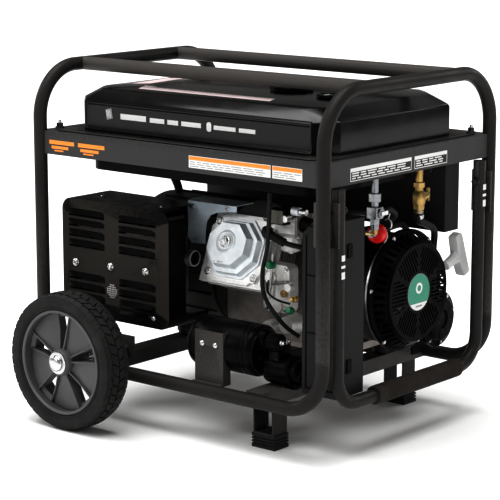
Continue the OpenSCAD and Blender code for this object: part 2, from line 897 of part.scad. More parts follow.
module stator() {
    color("#7a3f22") place() difference() {
        union() {
            rod_x([stack_x, crank_y, crank_z], stack_l, stator_r);
            intersection() {
                rod_x([stack_x, crank_y, crank_z], stack_l, alt_r - alt_wall);
                for (i = [0:5]) translate([stack_x, crank_y, crank_z]) rotate([i * 60, 0, 0])
                    translate([0, -10, stator_r - 4]) cube([stack_l, 20, 60]);
            }
        }
        rod_x([stack_x - 1, crank_y, crank_z], stack_l + 2, rotor_r + air_gap);
    }
}

module rotor() {
    color("#9a6238") place() difference() {
        rod_x([stack_x + 1, crank_y, crank_z], stack_l - 2, rotor_r);
        rod_x([stack_x, crank_y, crank_z], stack_l, shaft_r);
        for (i = [0:3]) translate([stack_x, crank_y, crank_z]) rotate([i * 90, 0, 0])
            translate([0, -5, rotor_r - 24]) cube([stack_l, 10, 30]);
    }
}

module vibration_mounts() {
    color("#191919") place() mirror_feet() for (x = [wheel_cross_x, engine_cross_x])
        translate([x, 0, cross_top_z]) {
            cylinder(h = mount_h, r = 17);
            translate([0, 0, mount_h / 2 - 4]) cylinder(h = 8, r = 19.5);
        }
}

// ---- engine -----------------------------------------------------------------

module crankcase() {
    barrel = 62;
    color("#8f8a84") place() difference() {
        union() {
            rod_x([case_x0, crank_y, crank_z], case_x1 - case_x0, case_r);
            block([case_x0, case_x1 - 30], [crank_y - case_r, crank_y + 76],
                [base_z + base_h - 2, crank_z]);
            block([case_x0, engine_cross_x + 20], [crank_y - 90, crank_y + 90],
                [base_z, base_z + base_h]);
            at_cylinder(70) translate([-barrel, -barrel, 0]) cube([2 * barrel, 2 * barrel, deck_h - 70]);
            at_cylinder(108) for (i = [0:5]) translate([-74, -70, i * 9]) cube([148, 140, 3]);
        }
        rod_x([case_x0 + 8, crank_y, crank_z], case_x1 - case_x0 - 16, case_r - 8);
        rod_x([case_x0 - 1, crank_y, crank_z], case_x1 - case_x0 + 2, shaft_r + run_gap);
        block([case_x0 + 8, case_x1 - 40], [crank_y - case_r + 8, crank_y + 68],
            [base_z + base_h + 6, crank_z]);
        at_cylinder(60) cylinder(h = deck_h, d = bore_d);
    }
}

module cylinder_head() {
    color("#b4b3b0") place() at_cylinder(deck_h) difference() {
        union() {
            translate([-62, -62, 0]) cube([124, 124, head_h]);
            translate([-78, -72, 2]) cube([156, 144, 6]);
            for (i = [0:2]) translate([-74, -70, 14 + i * 9]) cube([148, 140, 3]);
        }
        translate([0, 0, -1]) cylinder(h = 13, d = bore_d);
        plug_hole(12);
    }
}

// Clears the spark plug; z is the plug's seat above the surface the children stand on.
module plug_hole(z) {
    translate([46, 40, z]) rotate([0, 35, 0]) {
        cylinder(h = 70, r = 9);
        translate([0, 0, 28]) cylinder(h = 60, r = 14);
    }
}

module valve_cover() {
    color("#c9cbce") place() at_cylinder(deck_h + head_h) {
        difference() {
            linear_extrude(5) cut_rect(132, 118, 34);
            plug_hole(12 - head_h);
        }
        translate([0, 0, 5]) linear_extrude(valve_cover_h - 13) cut_rect(118, 104, 31);
        translate([-4, 3, valve_cover_h - 8]) linear_extrude(8) cut_rect(98, 86, 26);
        translate([-6, 6, valve_cover_h]) cylinder(h = 3, r = 22);
        translate([-6, 6, valve_cover_h + 3]) cylinder(h = 7, r = 10, $fn = 6);
    }
}

lead_route = [[103, -113, 391], [112, -130, 398], [136, -142, 392], [166, -138, 380],
    [200, -112, 370], [220, -60, 362], [224, -31.2, 360]];

module spark_plug() {
    color("#141414") place() {
        at_cylinder(deck_h + 12) translate([46, 40, 0]) rotate([0, 35, 0]) {
            cylinder(h = 34, r = 8.9);
            translate([0, 0, 34]) cylinder(h = 22, r = 12);
        }
        hose(lead_route, 5);
    }
}

module carburettor() {
    body_x = [114, 170];
    body_y = [-110, -60];
    body_z = [388, 425];
    bowl_x = 140;
    bowl_y = -85;
    bowl_h = 36;
    flange_w = 6;
    color("#6b6c6e") place() {
        block(body_x, body_y, body_z);
        block([body_x[1], body_x[1] + flange_w], [body_y[0] - 4, body_y[1] + 4],
            [body_z[0] - 8, body_z[1] + 5]);
        rod_x([body_x[1] + flange_w, -92, 410], 22, 16);
        rod_z([bowl_x, bowl_y, body_z[0] - bowl_h], bowl_h, 20);
        rod_y([bowl_x + 10, -132, 405], 22, 9);
    }
}

box_x = [262, 342];
box_z = [116, 448];
box_y = -205;
box_depth = 83;

// The box's outline, shrunk by d, with the cylinder-side top corner bevelled.
module box_outline(d) {
    bevel = 28;
    polygon([[box_x[0] + d, box_z[0] + d], [box_x[1] - d, box_z[0] + d],
        [box_x[1] - d, box_z[1] - d], [box_x[0] + bevel, box_z[1] - d],
        [box_x[0] + d, box_z[1] - bevel]]);
}

module air_cleaner_box() {
    wall = 3;
    inlet_r = 18;
    color("#151516") place() translate([0, box_y, 0]) rotate([90, 0, 0]) mirror([0, 0, 1])
        difference() {
            linear_extrude(box_depth) box_outline(0);
            translate([0, 0, wall]) linear_extrude(box_depth - 2 * wall) box_outline(wall);
            translate([box_x[0] - 32, box_z[1] - 43, 45]) rotate([0, 90, 0])
                cylinder(h = 40, r = inlet_r);
        }
}

module air_filter() {
    color("#c9a35a") place() block([box_x[0] + 10, box_x[1] - 10], [box_y + 9, box_y + 75],
        [box_z[0] + 134, box_z[0] + 254]);
}

module crankshaft() {
    web = 20;
    color("#a9aaac") place() difference() {
        union() {
            rod_x([alt_x0 - end_cover_t + 1, crank_y, crank_z],
                flywheel_x + 40 - alt_x0 + end_cover_t, shaft_r);
            for (s = [-1, 1]) rod_x([cyl_x + s * 34 - web / 2, crank_y, crank_z], web, 60);
            rod_x([cyl_x - 34, crank_y, crank_z + 33], 68, 19);
        }
        block([cyl_x - 24, cyl_x + 24], [crank_y - 30, crank_y + 30], [crank_z - 30, crank_z + 13]);
    }
}

module flywheel() {
    color("#5d5e60") place() difference() {
        union() {
            rod_x([flywheel_x, crank_y, crank_z], 16, flywheel_r);
            for (i = [0:11]) translate([flywheel_x + 15, crank_y, crank_z])
                rotate([i * 30, 0, 0]) translate([0, -2, 52]) cube([22, 4, flywheel_r - 56]);
            rod_x([flywheel_x + 15, crank_y, crank_z], 33, 34);
        }
        rod_x([flywheel_x - 1, crank_y, crank_z], 42, shaft_r);
        rod_x([flywheel_x + 41, crank_y, crank_z], 20, 28);
    }
}

module fan_housing() {
    color("#19191a") place() difference() {
        union() {
            rod_x([fan_x0, crank_y, crank_z], fan_x1 - fan_x0, fan_case_r);
            block([fan_x0, fan_x0 + 50], [crank_y - 104, crank_y - 40],
                [crank_z - 10, crank_z + fan_case_r]);
        }
        rod_x([fan_x0 + 3, crank_y, crank_z], fan_x1 - fan_x0, fan_case_r - 4);
        rod_x([fan_x0 - 1, crank_y, crank_z], 10, case_r - 20);
    }
}

// ---- recoil starter ---------------------------------------------------------

module recoil_profile(d) {
    rim = recoil_rim_r - d;
    front = recoil_front_r - d;
    polygon([[0, -d * 2], [rim, -d * 2], [rim, 5], [rim - 4, 9],
        [front, recoil_depth - 4 - d], [front - 5, recoil_depth - d], [0, recoil_depth - d]]);
}

module recoil_cover() {
    color("#161617") place() {
        difference() {
            translate([recoil_x - recoil_depth, crank_y, crank_z]) rotate([0, 90, 0])
                rotate_extrude($fn = 96) recoil_profile(0);
            translate([recoil_x - recoil_depth, crank_y, crank_z]) rotate([0, 90, 0])
                rotate_extrude($fn = 96) recoil_profile(3);
            for (i = [0:23]) translate([recoil_x - recoil_depth + 11, crank_y, crank_z])
                rotate([i * 15 + 7, 0, 0]) translate([0, -3, recoil_front_r - 10]) cube([18, 6, 40]);
            for (i = [0:23]) translate([recoil_x - 8, crank_y, crank_z])
                rotate([i * 15, 0, 0]) translate([0, -2, recoil_front_r - 46]) cube([20, 4, 32]);
            at_rope() rotate([-90, 0, 0]) cylinder(h = 160, r = rope_r + 1.2);
        }
        rod_x([reel_x0, crank_y, crank_z], recoil_x - reel_x0 - 2, post_r);
    }
}

module recoil_reel() {
    color("#c8c0a8") place() difference() {
        rod_x([reel_x0, crank_y, crank_z], reel_t, reel_r + 6);
        rod_x([reel_x0 - 1, crank_y, crank_z], reel_t + 2, post_r + run_gap);
        difference() {
            rod_x([reel_x0 + 3, crank_y, crank_z], reel_t - 6, reel_r + 7);
            rod_x([reel_x0 + 2, crank_y, crank_z], reel_t - 4, reel_r - 8);
        }
        for (i = [0:5]) translate([reel_x0, crank_y, crank_z]) rotate([i * 60, 0, 0])
            rod_x([-1, 26, 0], reel_t + 2, 8);
    }
}

module recoil_grip() {
    color("#a9a9a9") place() at_rope() {
        stem = rope_reach - 52;
        difference() {
            union() {
                translate([0, stem, 0]) rotate([-90, 0, 0]) cylinder(h = 46, r = 11);
                translate([-11, rope_reach - 12, -36]) cube([22, 22, 72]);
                for (s = [-1, 1]) translate([0, rope_reach - 1, s * 36]) rotate([0, 90, 0])
                    cylinder(h = 22, r = 11, center = true);
            }
            translate([0, stem - 1, 0]) rotate([-90, 0, 0]) cylinder(h = 40, r = rope_r);
        }
    }
}

module starter_rope() {
    color("#b9b9b0") place() at_rope() translate([0, -rope_inside, 0]) rotate([-90, 0, 0])
        cylinder(h = rope_inside + rope_reach - 14, r = rope_r);
}

// ---- equipment round the engine ----------------------------------------------

module lpg_regulator() {
    color("#131314") place() {
        difference() {
            union() {
                rod_x([reg_x1 - 18, reg_y, reg_z], 8, reg_r);
                rod_x([reg_x1 - 10, reg_y, reg_z], 10, reg_r - 16);
                rod_x([reg_x1 - 48, reg_y, reg_z], 30, reg_r - 6);
                rod_z([reg_x1 - 20, reg_y, reg_z + reg_r - 16], 14 + 2, 8);
            }
            for (i = [0:7]) translate([0, reg_y, reg_z]) rotate([i * 45 + 10, 0, 0])
                rod_x([reg_x1 - 30, 0, reg_bolt_r], 40, 2.5);
        }
        for (i = [0:7]) translate([0, reg_y, reg_z]) rotate([i * 45 + 10, 0, 0])
            rod_x([reg_x1 - 18, 0, reg_bolt_r], 14, 2.4);
        block([reg_x1 - 48, reg_x1 - 44], [reg_y - 40, reg_y + 20], [rail_z + 10, reg_z]);
    }
}

module canister() {
    color("#131314") place() {
        rod_x([can_x0, can_y, can_z], can_l, can_r);
        rod_x([can_x0 + can_l, can_y, can_z], 6, can_r - 6);
        rod_x([can_x0 - 4, can_y, can_z], 4, can_r - 5);
        rod_x([can_x0 + can_l + 6, can_y, can_z + 20], 14, 8);
    }
}

module canister_bracket() {
    y = can_y - can_r - sheet_t;
    color("#3c3c3e") place() difference() {
        union() {
            block([36, 107], [y, y + sheet_t], [rail_z + 6, can_z + 34]);
            block([105, 107], [y, y + 22], [rail_z + 8, can_z + 34]);
            block([36, 107], [y - 10, y + sheet_t], [rail_z + 10, rail_z + 12]);
        }
        rod_x([0, can_y, can_z], 200, can_r + 0.05);
        for (x = [55, 88]) rod_y([x, y - 1, can_z + 8], 5, 3);
        mirror_y() rod_x([-hoop_x, upright_y, rail_z], frame_l, tube_r);
    }
}

// The motor lies beside the crankcase with its solenoid switch above it.
module starter_motor() {
    y = -186;
    z = rail_z + 47;
    motor_x = 172;
    motor_l = 62;
    solenoid_y = y - 20;
    solenoid_z = z + 54;
    color("#121213") place() {
        rod_x([motor_x, y, z], motor_l, 30);
        rod_x([motor_x + motor_l, y, z], 12, 22);
        rod_x([motor_x + 14, solenoid_y, solenoid_z], 34, 18);
        block([motor_x + 18, motor_x + 40], [y - 28, y + 10], [z + 21, solenoid_z - 3]);
        block([motor_x - 1, motor_x + 3], [y - 10, crank_y - case_r], [z - 17, z + 19]);
    }
}

module battery() {
    x = [10, 160];
    y = [176, 242];
    top = rail_z + 113;
    post = [14, 14, 11];
    color("#141416") place() {
        block(x, y, [rail_z - 2, top]);
        for (px = [x[0] + 11, x[1] - 25]) translate([px, y[0] + 4, top]) cube(post);
    }
}

// ---- control panel ----------------------------------------------------------

module control_panel() {
    y0 = panel_y1 - panel_d;
    face = [panel_x0, panel_x0 + panel_l];
    color("#19191b") place() difference() {
        block(face, [y0, panel_y1], [panel_z, panel_z + panel_h]);
        block([face[0] + 2, face[1] - 2], [y0 + 2, panel_y1 - 2.5],
            [panel_z + 2, panel_z + panel_h - 2]);
        for (x = outlet_x) rod_y([x, panel_y1 - 4, outlet_z], 6, outlet_r - 6);
        rod_y([switch_x, panel_y1 - 4, switch_z], 6, 6 + run_gap);
        rod_y([button_x, panel_y1 - 4, switch_z], 6, 9.3);
        block([breaker_x - 12.4, breaker_x + 12.4], [panel_y1 - 4, panel_y1 + 1],
            [switch_z - 20.4, switch_z + 20.4]);
    }
}

module outlets() {
    color("#0f0f10") place() for (x = outlet_x) translate([x, panel_y1, outlet_z])
        rotate([-90, 0, 0]) difference() {
            union() {
                cylinder(h = 5, r = outlet_r);
                translate([0, 0, -12]) cylinder(h = 12, r = outlet_r - 6);
            }
            for (i = [0:2]) rotate([0, 0, i * 120]) translate([10, -3.5, -6]) cube([3, 7, 20]);
        }
}

module engine_switch() {
    color("#1d1d1e") place() translate([switch_x, panel_y1, switch_z]) rotate([-90, 0, 0]) {
        translate([0, 0, -14]) cylinder(h = 15, r = 6);
        translate([0, 0, 0.5]) cylinder(h = 8, r = switch_r);
        translate([-4, -switch_r + 2, 8]) cube([8, 2 * switch_r - 4, 9]);
    }
}

module start_button() {
    color("#b3261e") place() translate([button_x, panel_y1, switch_z]) rotate([-90, 0, 0])
        translate([0, 0, -8]) cylinder(h = 11 + button_travel, r = 9);
}

module main_breaker() {
    color("#1d1d1e") place() difference() {
        block([breaker_x - 11.6, breaker_x + 11.6], [panel_y1 - 10, panel_y1 + 3],
            [switch_z - 18, switch_z + 18]);
        translate([breaker_x - 20, panel_y1 + 3.2, switch_z]) rotate([-12, 0, 0])
            cube([40, 20, 30]);
    }
}

hoop_engine_end();
hoop_wheel_end();
bottom_rails();
top_rails();
crossmembers();
belt_sides();
belt_ends();
stub_axles();
tyre_near();
hub_near();
tyre_far();
hub_far();
axle_nuts();
foot_brackets();
rubber_feet();
handle_tube();
handle_grip();
handle_brackets();
handle_bolts();
tank_lower();
tank_upper();
tank_bolts();
fuel_cap();
fuel_gauge();
fuel_valve();
lpg_valve();
hoses();
harness();
muffler_guard();
muffler();
heat_shield();
alternator_housing();
alternator_end_cover();
stator();
rotor();
vibration_mounts();
crankcase();
cylinder_head();
valve_cover();
spark_plug();
carburettor();
air_cleaner_box();
air_filter();
crankshaft();
flywheel();
fan_housing();
recoil_cover();
recoil_reel();
recoil_grip();
starter_rope();
lpg_regulator();
canister();
canister_bracket();
starter_motor();
battery();
control_panel();
outlets();
engine_switch();
start_button();
main_breaker();
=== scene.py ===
"""Looks of the open-frame portable generator: materials, detailed pieces, light and camera."""
import json
import math
import random

import bmesh
import bpy
from mathutils import Matrix, Vector


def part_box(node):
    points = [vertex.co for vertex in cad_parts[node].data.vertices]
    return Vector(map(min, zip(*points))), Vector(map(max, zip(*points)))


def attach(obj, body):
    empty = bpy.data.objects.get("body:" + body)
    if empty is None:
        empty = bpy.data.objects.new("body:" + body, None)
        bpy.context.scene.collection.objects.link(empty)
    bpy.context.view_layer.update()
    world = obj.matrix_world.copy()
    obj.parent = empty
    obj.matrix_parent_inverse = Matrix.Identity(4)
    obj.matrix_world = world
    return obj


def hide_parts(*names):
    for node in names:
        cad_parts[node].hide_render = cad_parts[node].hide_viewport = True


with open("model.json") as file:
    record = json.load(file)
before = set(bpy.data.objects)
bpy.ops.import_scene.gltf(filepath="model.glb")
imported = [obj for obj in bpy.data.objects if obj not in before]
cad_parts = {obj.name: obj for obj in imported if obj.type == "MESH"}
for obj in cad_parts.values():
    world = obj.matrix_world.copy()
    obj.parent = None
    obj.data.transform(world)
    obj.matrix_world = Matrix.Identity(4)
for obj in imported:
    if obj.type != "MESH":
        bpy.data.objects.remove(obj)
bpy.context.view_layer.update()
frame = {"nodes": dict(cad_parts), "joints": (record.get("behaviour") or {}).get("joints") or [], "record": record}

MM = 0.001
DEG = math.pi / 180
NEAR, FAR = -1, 1


# ---- places taken from the frame ------------------------------------------------

def box_mm(node):
    """Lowest and highest corner of a CAD node, in millimetres."""
    lo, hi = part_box(node)
    return Vector(lo) / MM, Vector(hi) / MM


def joint_mm(name):
    """A joint's position in millimetres."""
    found = next(j for j in frame["joints"] if j["name"] == name)
    return Vector(found["pos_m"]) / MM


X, Y, Z = Vector((1, 0, 0)), Vector((0, 1, 0)), Vector((0, 0, 1))
CRANK = joint_mm("engine_spin")
SHIFT = sum(c.x for c in box_mm("belt_sides")) / 2


# Puts an outline drawn in x and z on the XZ plane, with its thickness along y.
XZ_FACE = Matrix(((1, 0, 0, 0), (0, 0, 1, 0), (0, 1, 0, 0), (0, 0, 0, 1)))


def polar(r, angle):
    """A point r from the middle, at an angle in radians."""
    return r * math.cos(angle), r * math.sin(angle)


def at(origin, z_axis=Z, x_axis=None):
    """A placement whose local Z runs along z_axis and whose local X leans towards x_axis."""
    z = Vector(z_axis).normalized()
    hint = Vector(x_axis) if x_axis else (X if abs(z.x) < 0.9 else Y)
    y = z.cross(hint).normalized()
    x = y.cross(z)
    m = Matrix((x, y, z)).transposed().to_4x4()
    m.translation = Vector(origin)
    return m


# ---- materials --------------------------------------------------------------------

def new_material(name):
    mat = bpy.data.materials.new(name)
    mat.use_nodes = True
    tree = mat.node_tree
    return mat, tree, tree.nodes["Principled BSDF"]


def add(tree, kind, **values):
    node = tree.nodes.new(kind)
    for key, value in values.items():
        if key in node.inputs:
            node.inputs[key].default_value = value
        else:
            setattr(node, key.lower(), value)
    return node


def noise(tree, scale, detail=4.0, rough=0.55):
    coords = add(tree, "ShaderNodeTexCoord")
    node = add(tree, "ShaderNodeTexNoise", Scale=scale, Detail=detail, Roughness=rough)
    tree.links.new(coords.outputs["Object"], node.inputs["Vector"])
    return node


def ramp(tree, source, low, high, at_low=0.35, at_high=0.65):
    """Maps a 0 to 1 value to a colour or a grey between two stops."""
    node = tree.nodes.new("ShaderNodeValToRGB")
    stops = node.color_ramp.elements
    stops[0].position, stops[1].position = at_low, at_high
    stops[0].color = low if len(low) == 4 else (*low, 1)
    stops[1].color = high if len(high) == 4 else (*high, 1)
    tree.links.new(source, node.inputs["Fac"])
    return node.outputs["Color"]


def grey(value):
    return (value, value, value)


def shade(color, factor):
    return tuple(min(1.0, c * factor) for c in color)


def bump(tree, shader, source, strength, distance):
    node = add(tree, "ShaderNodeBump", Strength=strength, Distance=distance)
    tree.links.new(source, node.inputs["Height"])
    tree.links.new(node.outputs["Normal"], shader.inputs["Normal"])
    return node


def surface(name, color, rough, metal=0.0, vary=0.18, rough_vary=0.08, grain=900.0,
            grain_depth=0.25, grain_height=0.0002, blotch=14.0, wear=None, wear_at=0.58,
            coat=0.0, coat_rough=0.1, specular=0.5):
    """A finished surface: uneven colour, uneven gloss, a fine grain and worn edges."""
    mat, tree, shader = new_material(name)
    blotches = noise(tree, blotch, 5.0, 0.6)
    tint = ramp(tree, blotches.outputs["Fac"], shade(color, 1 - vary), shade(color, 1 + vary))
    if wear is not None:
        geometry = add(tree, "ShaderNodeNewGeometry")
        scratches = noise(tree, 160.0, 6.0, 0.7)
        edge = add(tree, "ShaderNodeMath", operation="MULTIPLY_ADD")
        tree.links.new(scratches.outputs["Fac"], edge.inputs[0])
        edge.inputs[1].default_value = 0.08
        tree.links.new(geometry.outputs["Pointiness"], edge.inputs[2])
        mask = ramp(tree, edge.outputs[0], (0, 0, 0), (1, 1, 1), wear_at + 0.03, wear_at + 0.08)
        mix = add(tree, "ShaderNodeMix", data_type="RGBA")
        tree.links.new(mask, mix.inputs["Factor"])
        tree.links.new(tint, mix.inputs[6])
        mix.inputs[7].default_value = (*wear, 1)
        tint = mix.outputs[2]
    tree.links.new(tint, shader.inputs["Base Color"])
    patches = noise(tree, blotch * 3.1, 4.0, 0.6)
    gloss = ramp(tree, patches.outputs["Fac"], grey(max(rough - rough_vary, 0.02)),
                 grey(min(rough + rough_vary, 1)))
    tree.links.new(gloss, shader.inputs["Roughness"])
    fine = noise(tree, grain, 3.0, 0.6)
    bump(tree, shader, fine.outputs["Fac"], grain_depth, grain_height)
    shader.inputs["Metallic"].default_value = metal
    shader.inputs["Coat Weight"].default_value = coat
    shader.inputs["Coat Roughness"].default_value = coat_rough
    shader.inputs["Specular IOR Level"].default_value = specular
    return mat


def brushed(name, color, rough, scale=(8, 8, 600), metal=1.0, vary=0.15):
    """Metal with fine parallel brush marks."""
    mat = surface(name, color, rough, metal, vary, 0.08, 500.0, 0.05, 0.0001)
    tree = mat.node_tree
    shader = tree.nodes["Principled BSDF"]
    coords = add(tree, "ShaderNodeTexCoord")
    mapping = tree.nodes.new("ShaderNodeMapping")
    mapping.inputs["Scale"].default_value = scale
    tree.links.new(coords.outputs["Object"], mapping.inputs["Vector"])
    lines = add(tree, "ShaderNodeTexNoise", Scale=3.0, Detail=5.0, Roughness=0.7)
    tree.links.new(mapping.outputs["Vector"], lines.inputs["Vector"])
    bump(tree, shader, lines.outputs["Fac"], 0.12, 0.0003)
    return mat


def cast(name, color, rough=0.5, metal=0.75):
    """Die-cast metal: a coarse skin with darker pores."""
    mat = surface(name, color, rough, metal, 0.22, 0.12, 420.0, 0.5, 0.0006, 22.0,
                  wear=shade(color, 1.5), wear_at=0.55)
    return mat


def rubber(name, color, rough=0.72):
    return surface(name, color, rough, 0.0, 0.25, 0.1, 700.0, 0.35, 0.0003, 18.0, specular=0.25)


def build_materials():
    m = {}
    m["frame_paint"] = surface("frame_paint", (0.028, 0.0262, 0.0254), 0.42, 0.1, 0.12, 0.06,
                               1500.0, 0.22, 0.0002, 9.0, wear=(0.075, 0.07, 0.066), specular=0.12)
    m["belt_paint"] = surface("belt_paint", (0.0085, 0.0081, 0.0083), 0.42, 0.1, 0.1, 0.05,
                              1500.0, 0.2, 0.0002, 9.0, wear=(0.06, 0.06, 0.06), specular=0.12)
    m["black_paint"] = surface("black_paint", (0.0038, 0.0036, 0.0036), 0.34, 0.0, 0.15, 0.08,
                               1200.0, 0.2, 0.0002, 11.0, wear=(0.05, 0.048, 0.046), specular=0.06)
    m["guard_paint"] = surface("guard_paint", (0.0036, 0.0034, 0.0033), 0.36, 0.0, 0.2, 0.08,
                               1100.0, 0.2, 0.0002, 10.0, wear=(0.04, 0.036, 0.032), wear_at=0.62,
                               specular=0.05)
    m["tank_gloss"] = surface("tank_gloss", (0.0032, 0.0032, 0.0034), 0.22, 0.0, 0.1, 0.04,
                              260.0, 0.05, 0.0003, 6.0, coat=0.15, coat_rough=0.1,
                              specular=0.3)
    m["zinc"] = surface("zinc", (0.8, 0.84, 0.87), 0.4, 0.4, 0.1, 0.08, 300.0, 0.1, 0.00005,
                        30.0, wear=(0.75, 0.76, 0.78), wear_at=0.56)
    m["nickel"] = surface("nickel", (0.3, 0.31, 0.325), 0.34, 0.85, 0.2, 0.12, 400.0, 0.2, 0.0002,
                          40.0, wear=(0.6, 0.6, 0.6))
    m["blue_zinc"] = surface("blue_zinc", (0.52, 0.6, 0.66), 0.4, 0.35, 0.2, 0.12, 260.0, 0.1,
                             0.0001, 12.0)
    m["steel"] = brushed("steel", (0.45, 0.44, 0.43), 0.34)
    m["bolt_steel"] = surface("bolt_steel", (0.6, 0.6, 0.6), 0.28, 1.0, 0.12, 0.1, 600.0, 0.15,
                              0.0002, 60.0)
    m["dark_bolt"] = surface("dark_bolt", (0.05, 0.05, 0.05), 0.36, 0.8, 0.2, 0.1, 600.0, 0.15,
                             0.0002, 60.0, wear=(0.25, 0.25, 0.25))
    m["cast_aluminium"] = cast("cast_aluminium", (0.74, 0.73, 0.71), metal=0.6)
    m["cast_dark"] = cast("cast_dark", (0.26, 0.24, 0.22), 0.55, 0.6)
    m["laminations"] = brushed("laminations", (0.12, 0.09, 0.07), 0.5, (900, 6, 6), 0.7)
    m["brass"] = surface("brass", (0.5, 0.34, 0.13), 0.4, 0.8, 0.22, 0.1, 500.0, 0.2, 0.0003,
                         40.0, wear=(0.75, 0.6, 0.3))
    m["rubber"] = rubber("rubber", (0.012, 0.012, 0.012), 0.55)
    m["tyre"] = rubber("tyre", (0.021, 0.0205, 0.02), 0.7)
    m["foam"] = surface("foam", (0.036, 0.031, 0.027), 0.86, 0.0, 0.25, 0.05, 2600.0, 0.8,
                        0.0004, 20.0, specular=0.12)
    m["black_plastic"] = surface("black_plastic", (0.0022, 0.0022, 0.0023), 0.36, 0.0, 0.12, 0.07,
                                 1800.0, 0.2, 0.0002, 12.0, wear=(0.03, 0.03, 0.03), specular=0.05)
    m["hub_plastic"] = surface("hub_plastic", (0.09, 0.09, 0.094), 0.46, 0.0, 0.1, 0.06,
                               2000.0, 0.25, 0.0002, 12.0, wear=(0.07, 0.07, 0.072))
    m["grey_plastic"] = surface("grey_plastic", (0.42, 0.42, 0.42), 0.5, 0.0, 0.06, 0.05,
                                1500.0, 0.3, 0.0002, 20.0)
    m["reel_plastic"] = surface("reel_plastic", (0.05, 0.047, 0.042), 0.5)
    m["rope"] = surface("rope", (0.4, 0.4, 0.37), 0.9, 0.0, 0.3, 0.05, 1400.0, 0.8, 0.0006)
    m["red_plastic"] = surface("red_plastic", (0.62, 0.002, 0.004), 0.36, 0.0, 0.15, 0.08,
                               900.0, 0.25, 0.0003, 40.0)
    m["filter_paper"] = surface("filter_paper", (0.55, 0.38, 0.13), 0.9)
    m["green"] = surface("green", (0.016, 0.26, 0.165), 0.35, 0.0, 0.08, 0.05, 900.0, 0.1)
    m["white_mark"] = surface("white_mark", (0.75, 0.75, 0.74), 0.45, 0.0, 0.04, 0.05, 900.0, 0.1)
    m["orange_mark"] = surface("orange_mark", (0.82, 0.28, 0.035), 0.45, 0.0, 0.06, 0.05,
                               900.0, 0.1)
    m["grey_mark"] = surface("grey_mark", (0.3, 0.3, 0.3), 0.45, 0.0, 0.06, 0.05, 900.0, 0.1)
    # A painted reflection colour: it draws lamp reflections as pink strips on the tank's top slopes.
    m["painted_reflection_pink"] = surface("painted_reflection_pink", (0.75, 0.62, 0.62), 0.4, 0.0, 0.06, 0.05, 900.0, 0.1)
    m["weld"] = surface("weld", (0.09, 0.085, 0.08), 0.38, 0.5, 0.2, 0.1, 500.0, 0.4)
    m["braid"] = surface("braid", (0.016, 0.0155, 0.015), 0.62, 0.0, 0.35, 0.1, 1300.0, 0.8,
                         0.0005, specular=0.12)
    m["green_plastic"] = surface("green_plastic", (0.01, 0.22, 0.09), 0.4)
    m["white_plastic"] = surface("white_plastic", (0.7, 0.7, 0.68), 0.45)
    m["olive_plate"] = surface("olive_plate", (0.13, 0.125, 0.1), 0.5)
    m["grip_plastic"] = surface("grip_plastic", (0.78, 0.78, 0.78), 0.48, 0.0, 0.06, 0.06,
                                1500.0, 0.3)
    m["glass"] = surface("glass", (0.02, 0.03, 0.03), 0.08, 0.0, 0.1, 0.02, 300.0, 0.02)
    return m


MATS = build_materials()

NODE_FINISH = {
    "belt_sides": "belt_paint", "belt_ends": "belt_paint", "muffler_guard": "guard_paint",
    "crankcase": "cast_dark", "flywheel": "black_paint", "foot_brackets": "black_paint",
}


def paint_cad_nodes():
    slots = {s["node"]: s["material_slot"] for s in frame["record"]["subparts"]}
    for name, node in frame["nodes"].items():
        finish = NODE_FINISH.get(name, slots[name])
        node.data.materials.clear()
        node.data.materials.append(MATS[finish])


paint_cad_nodes()


# ---- a small mesh builder -----------------------------------------------------------

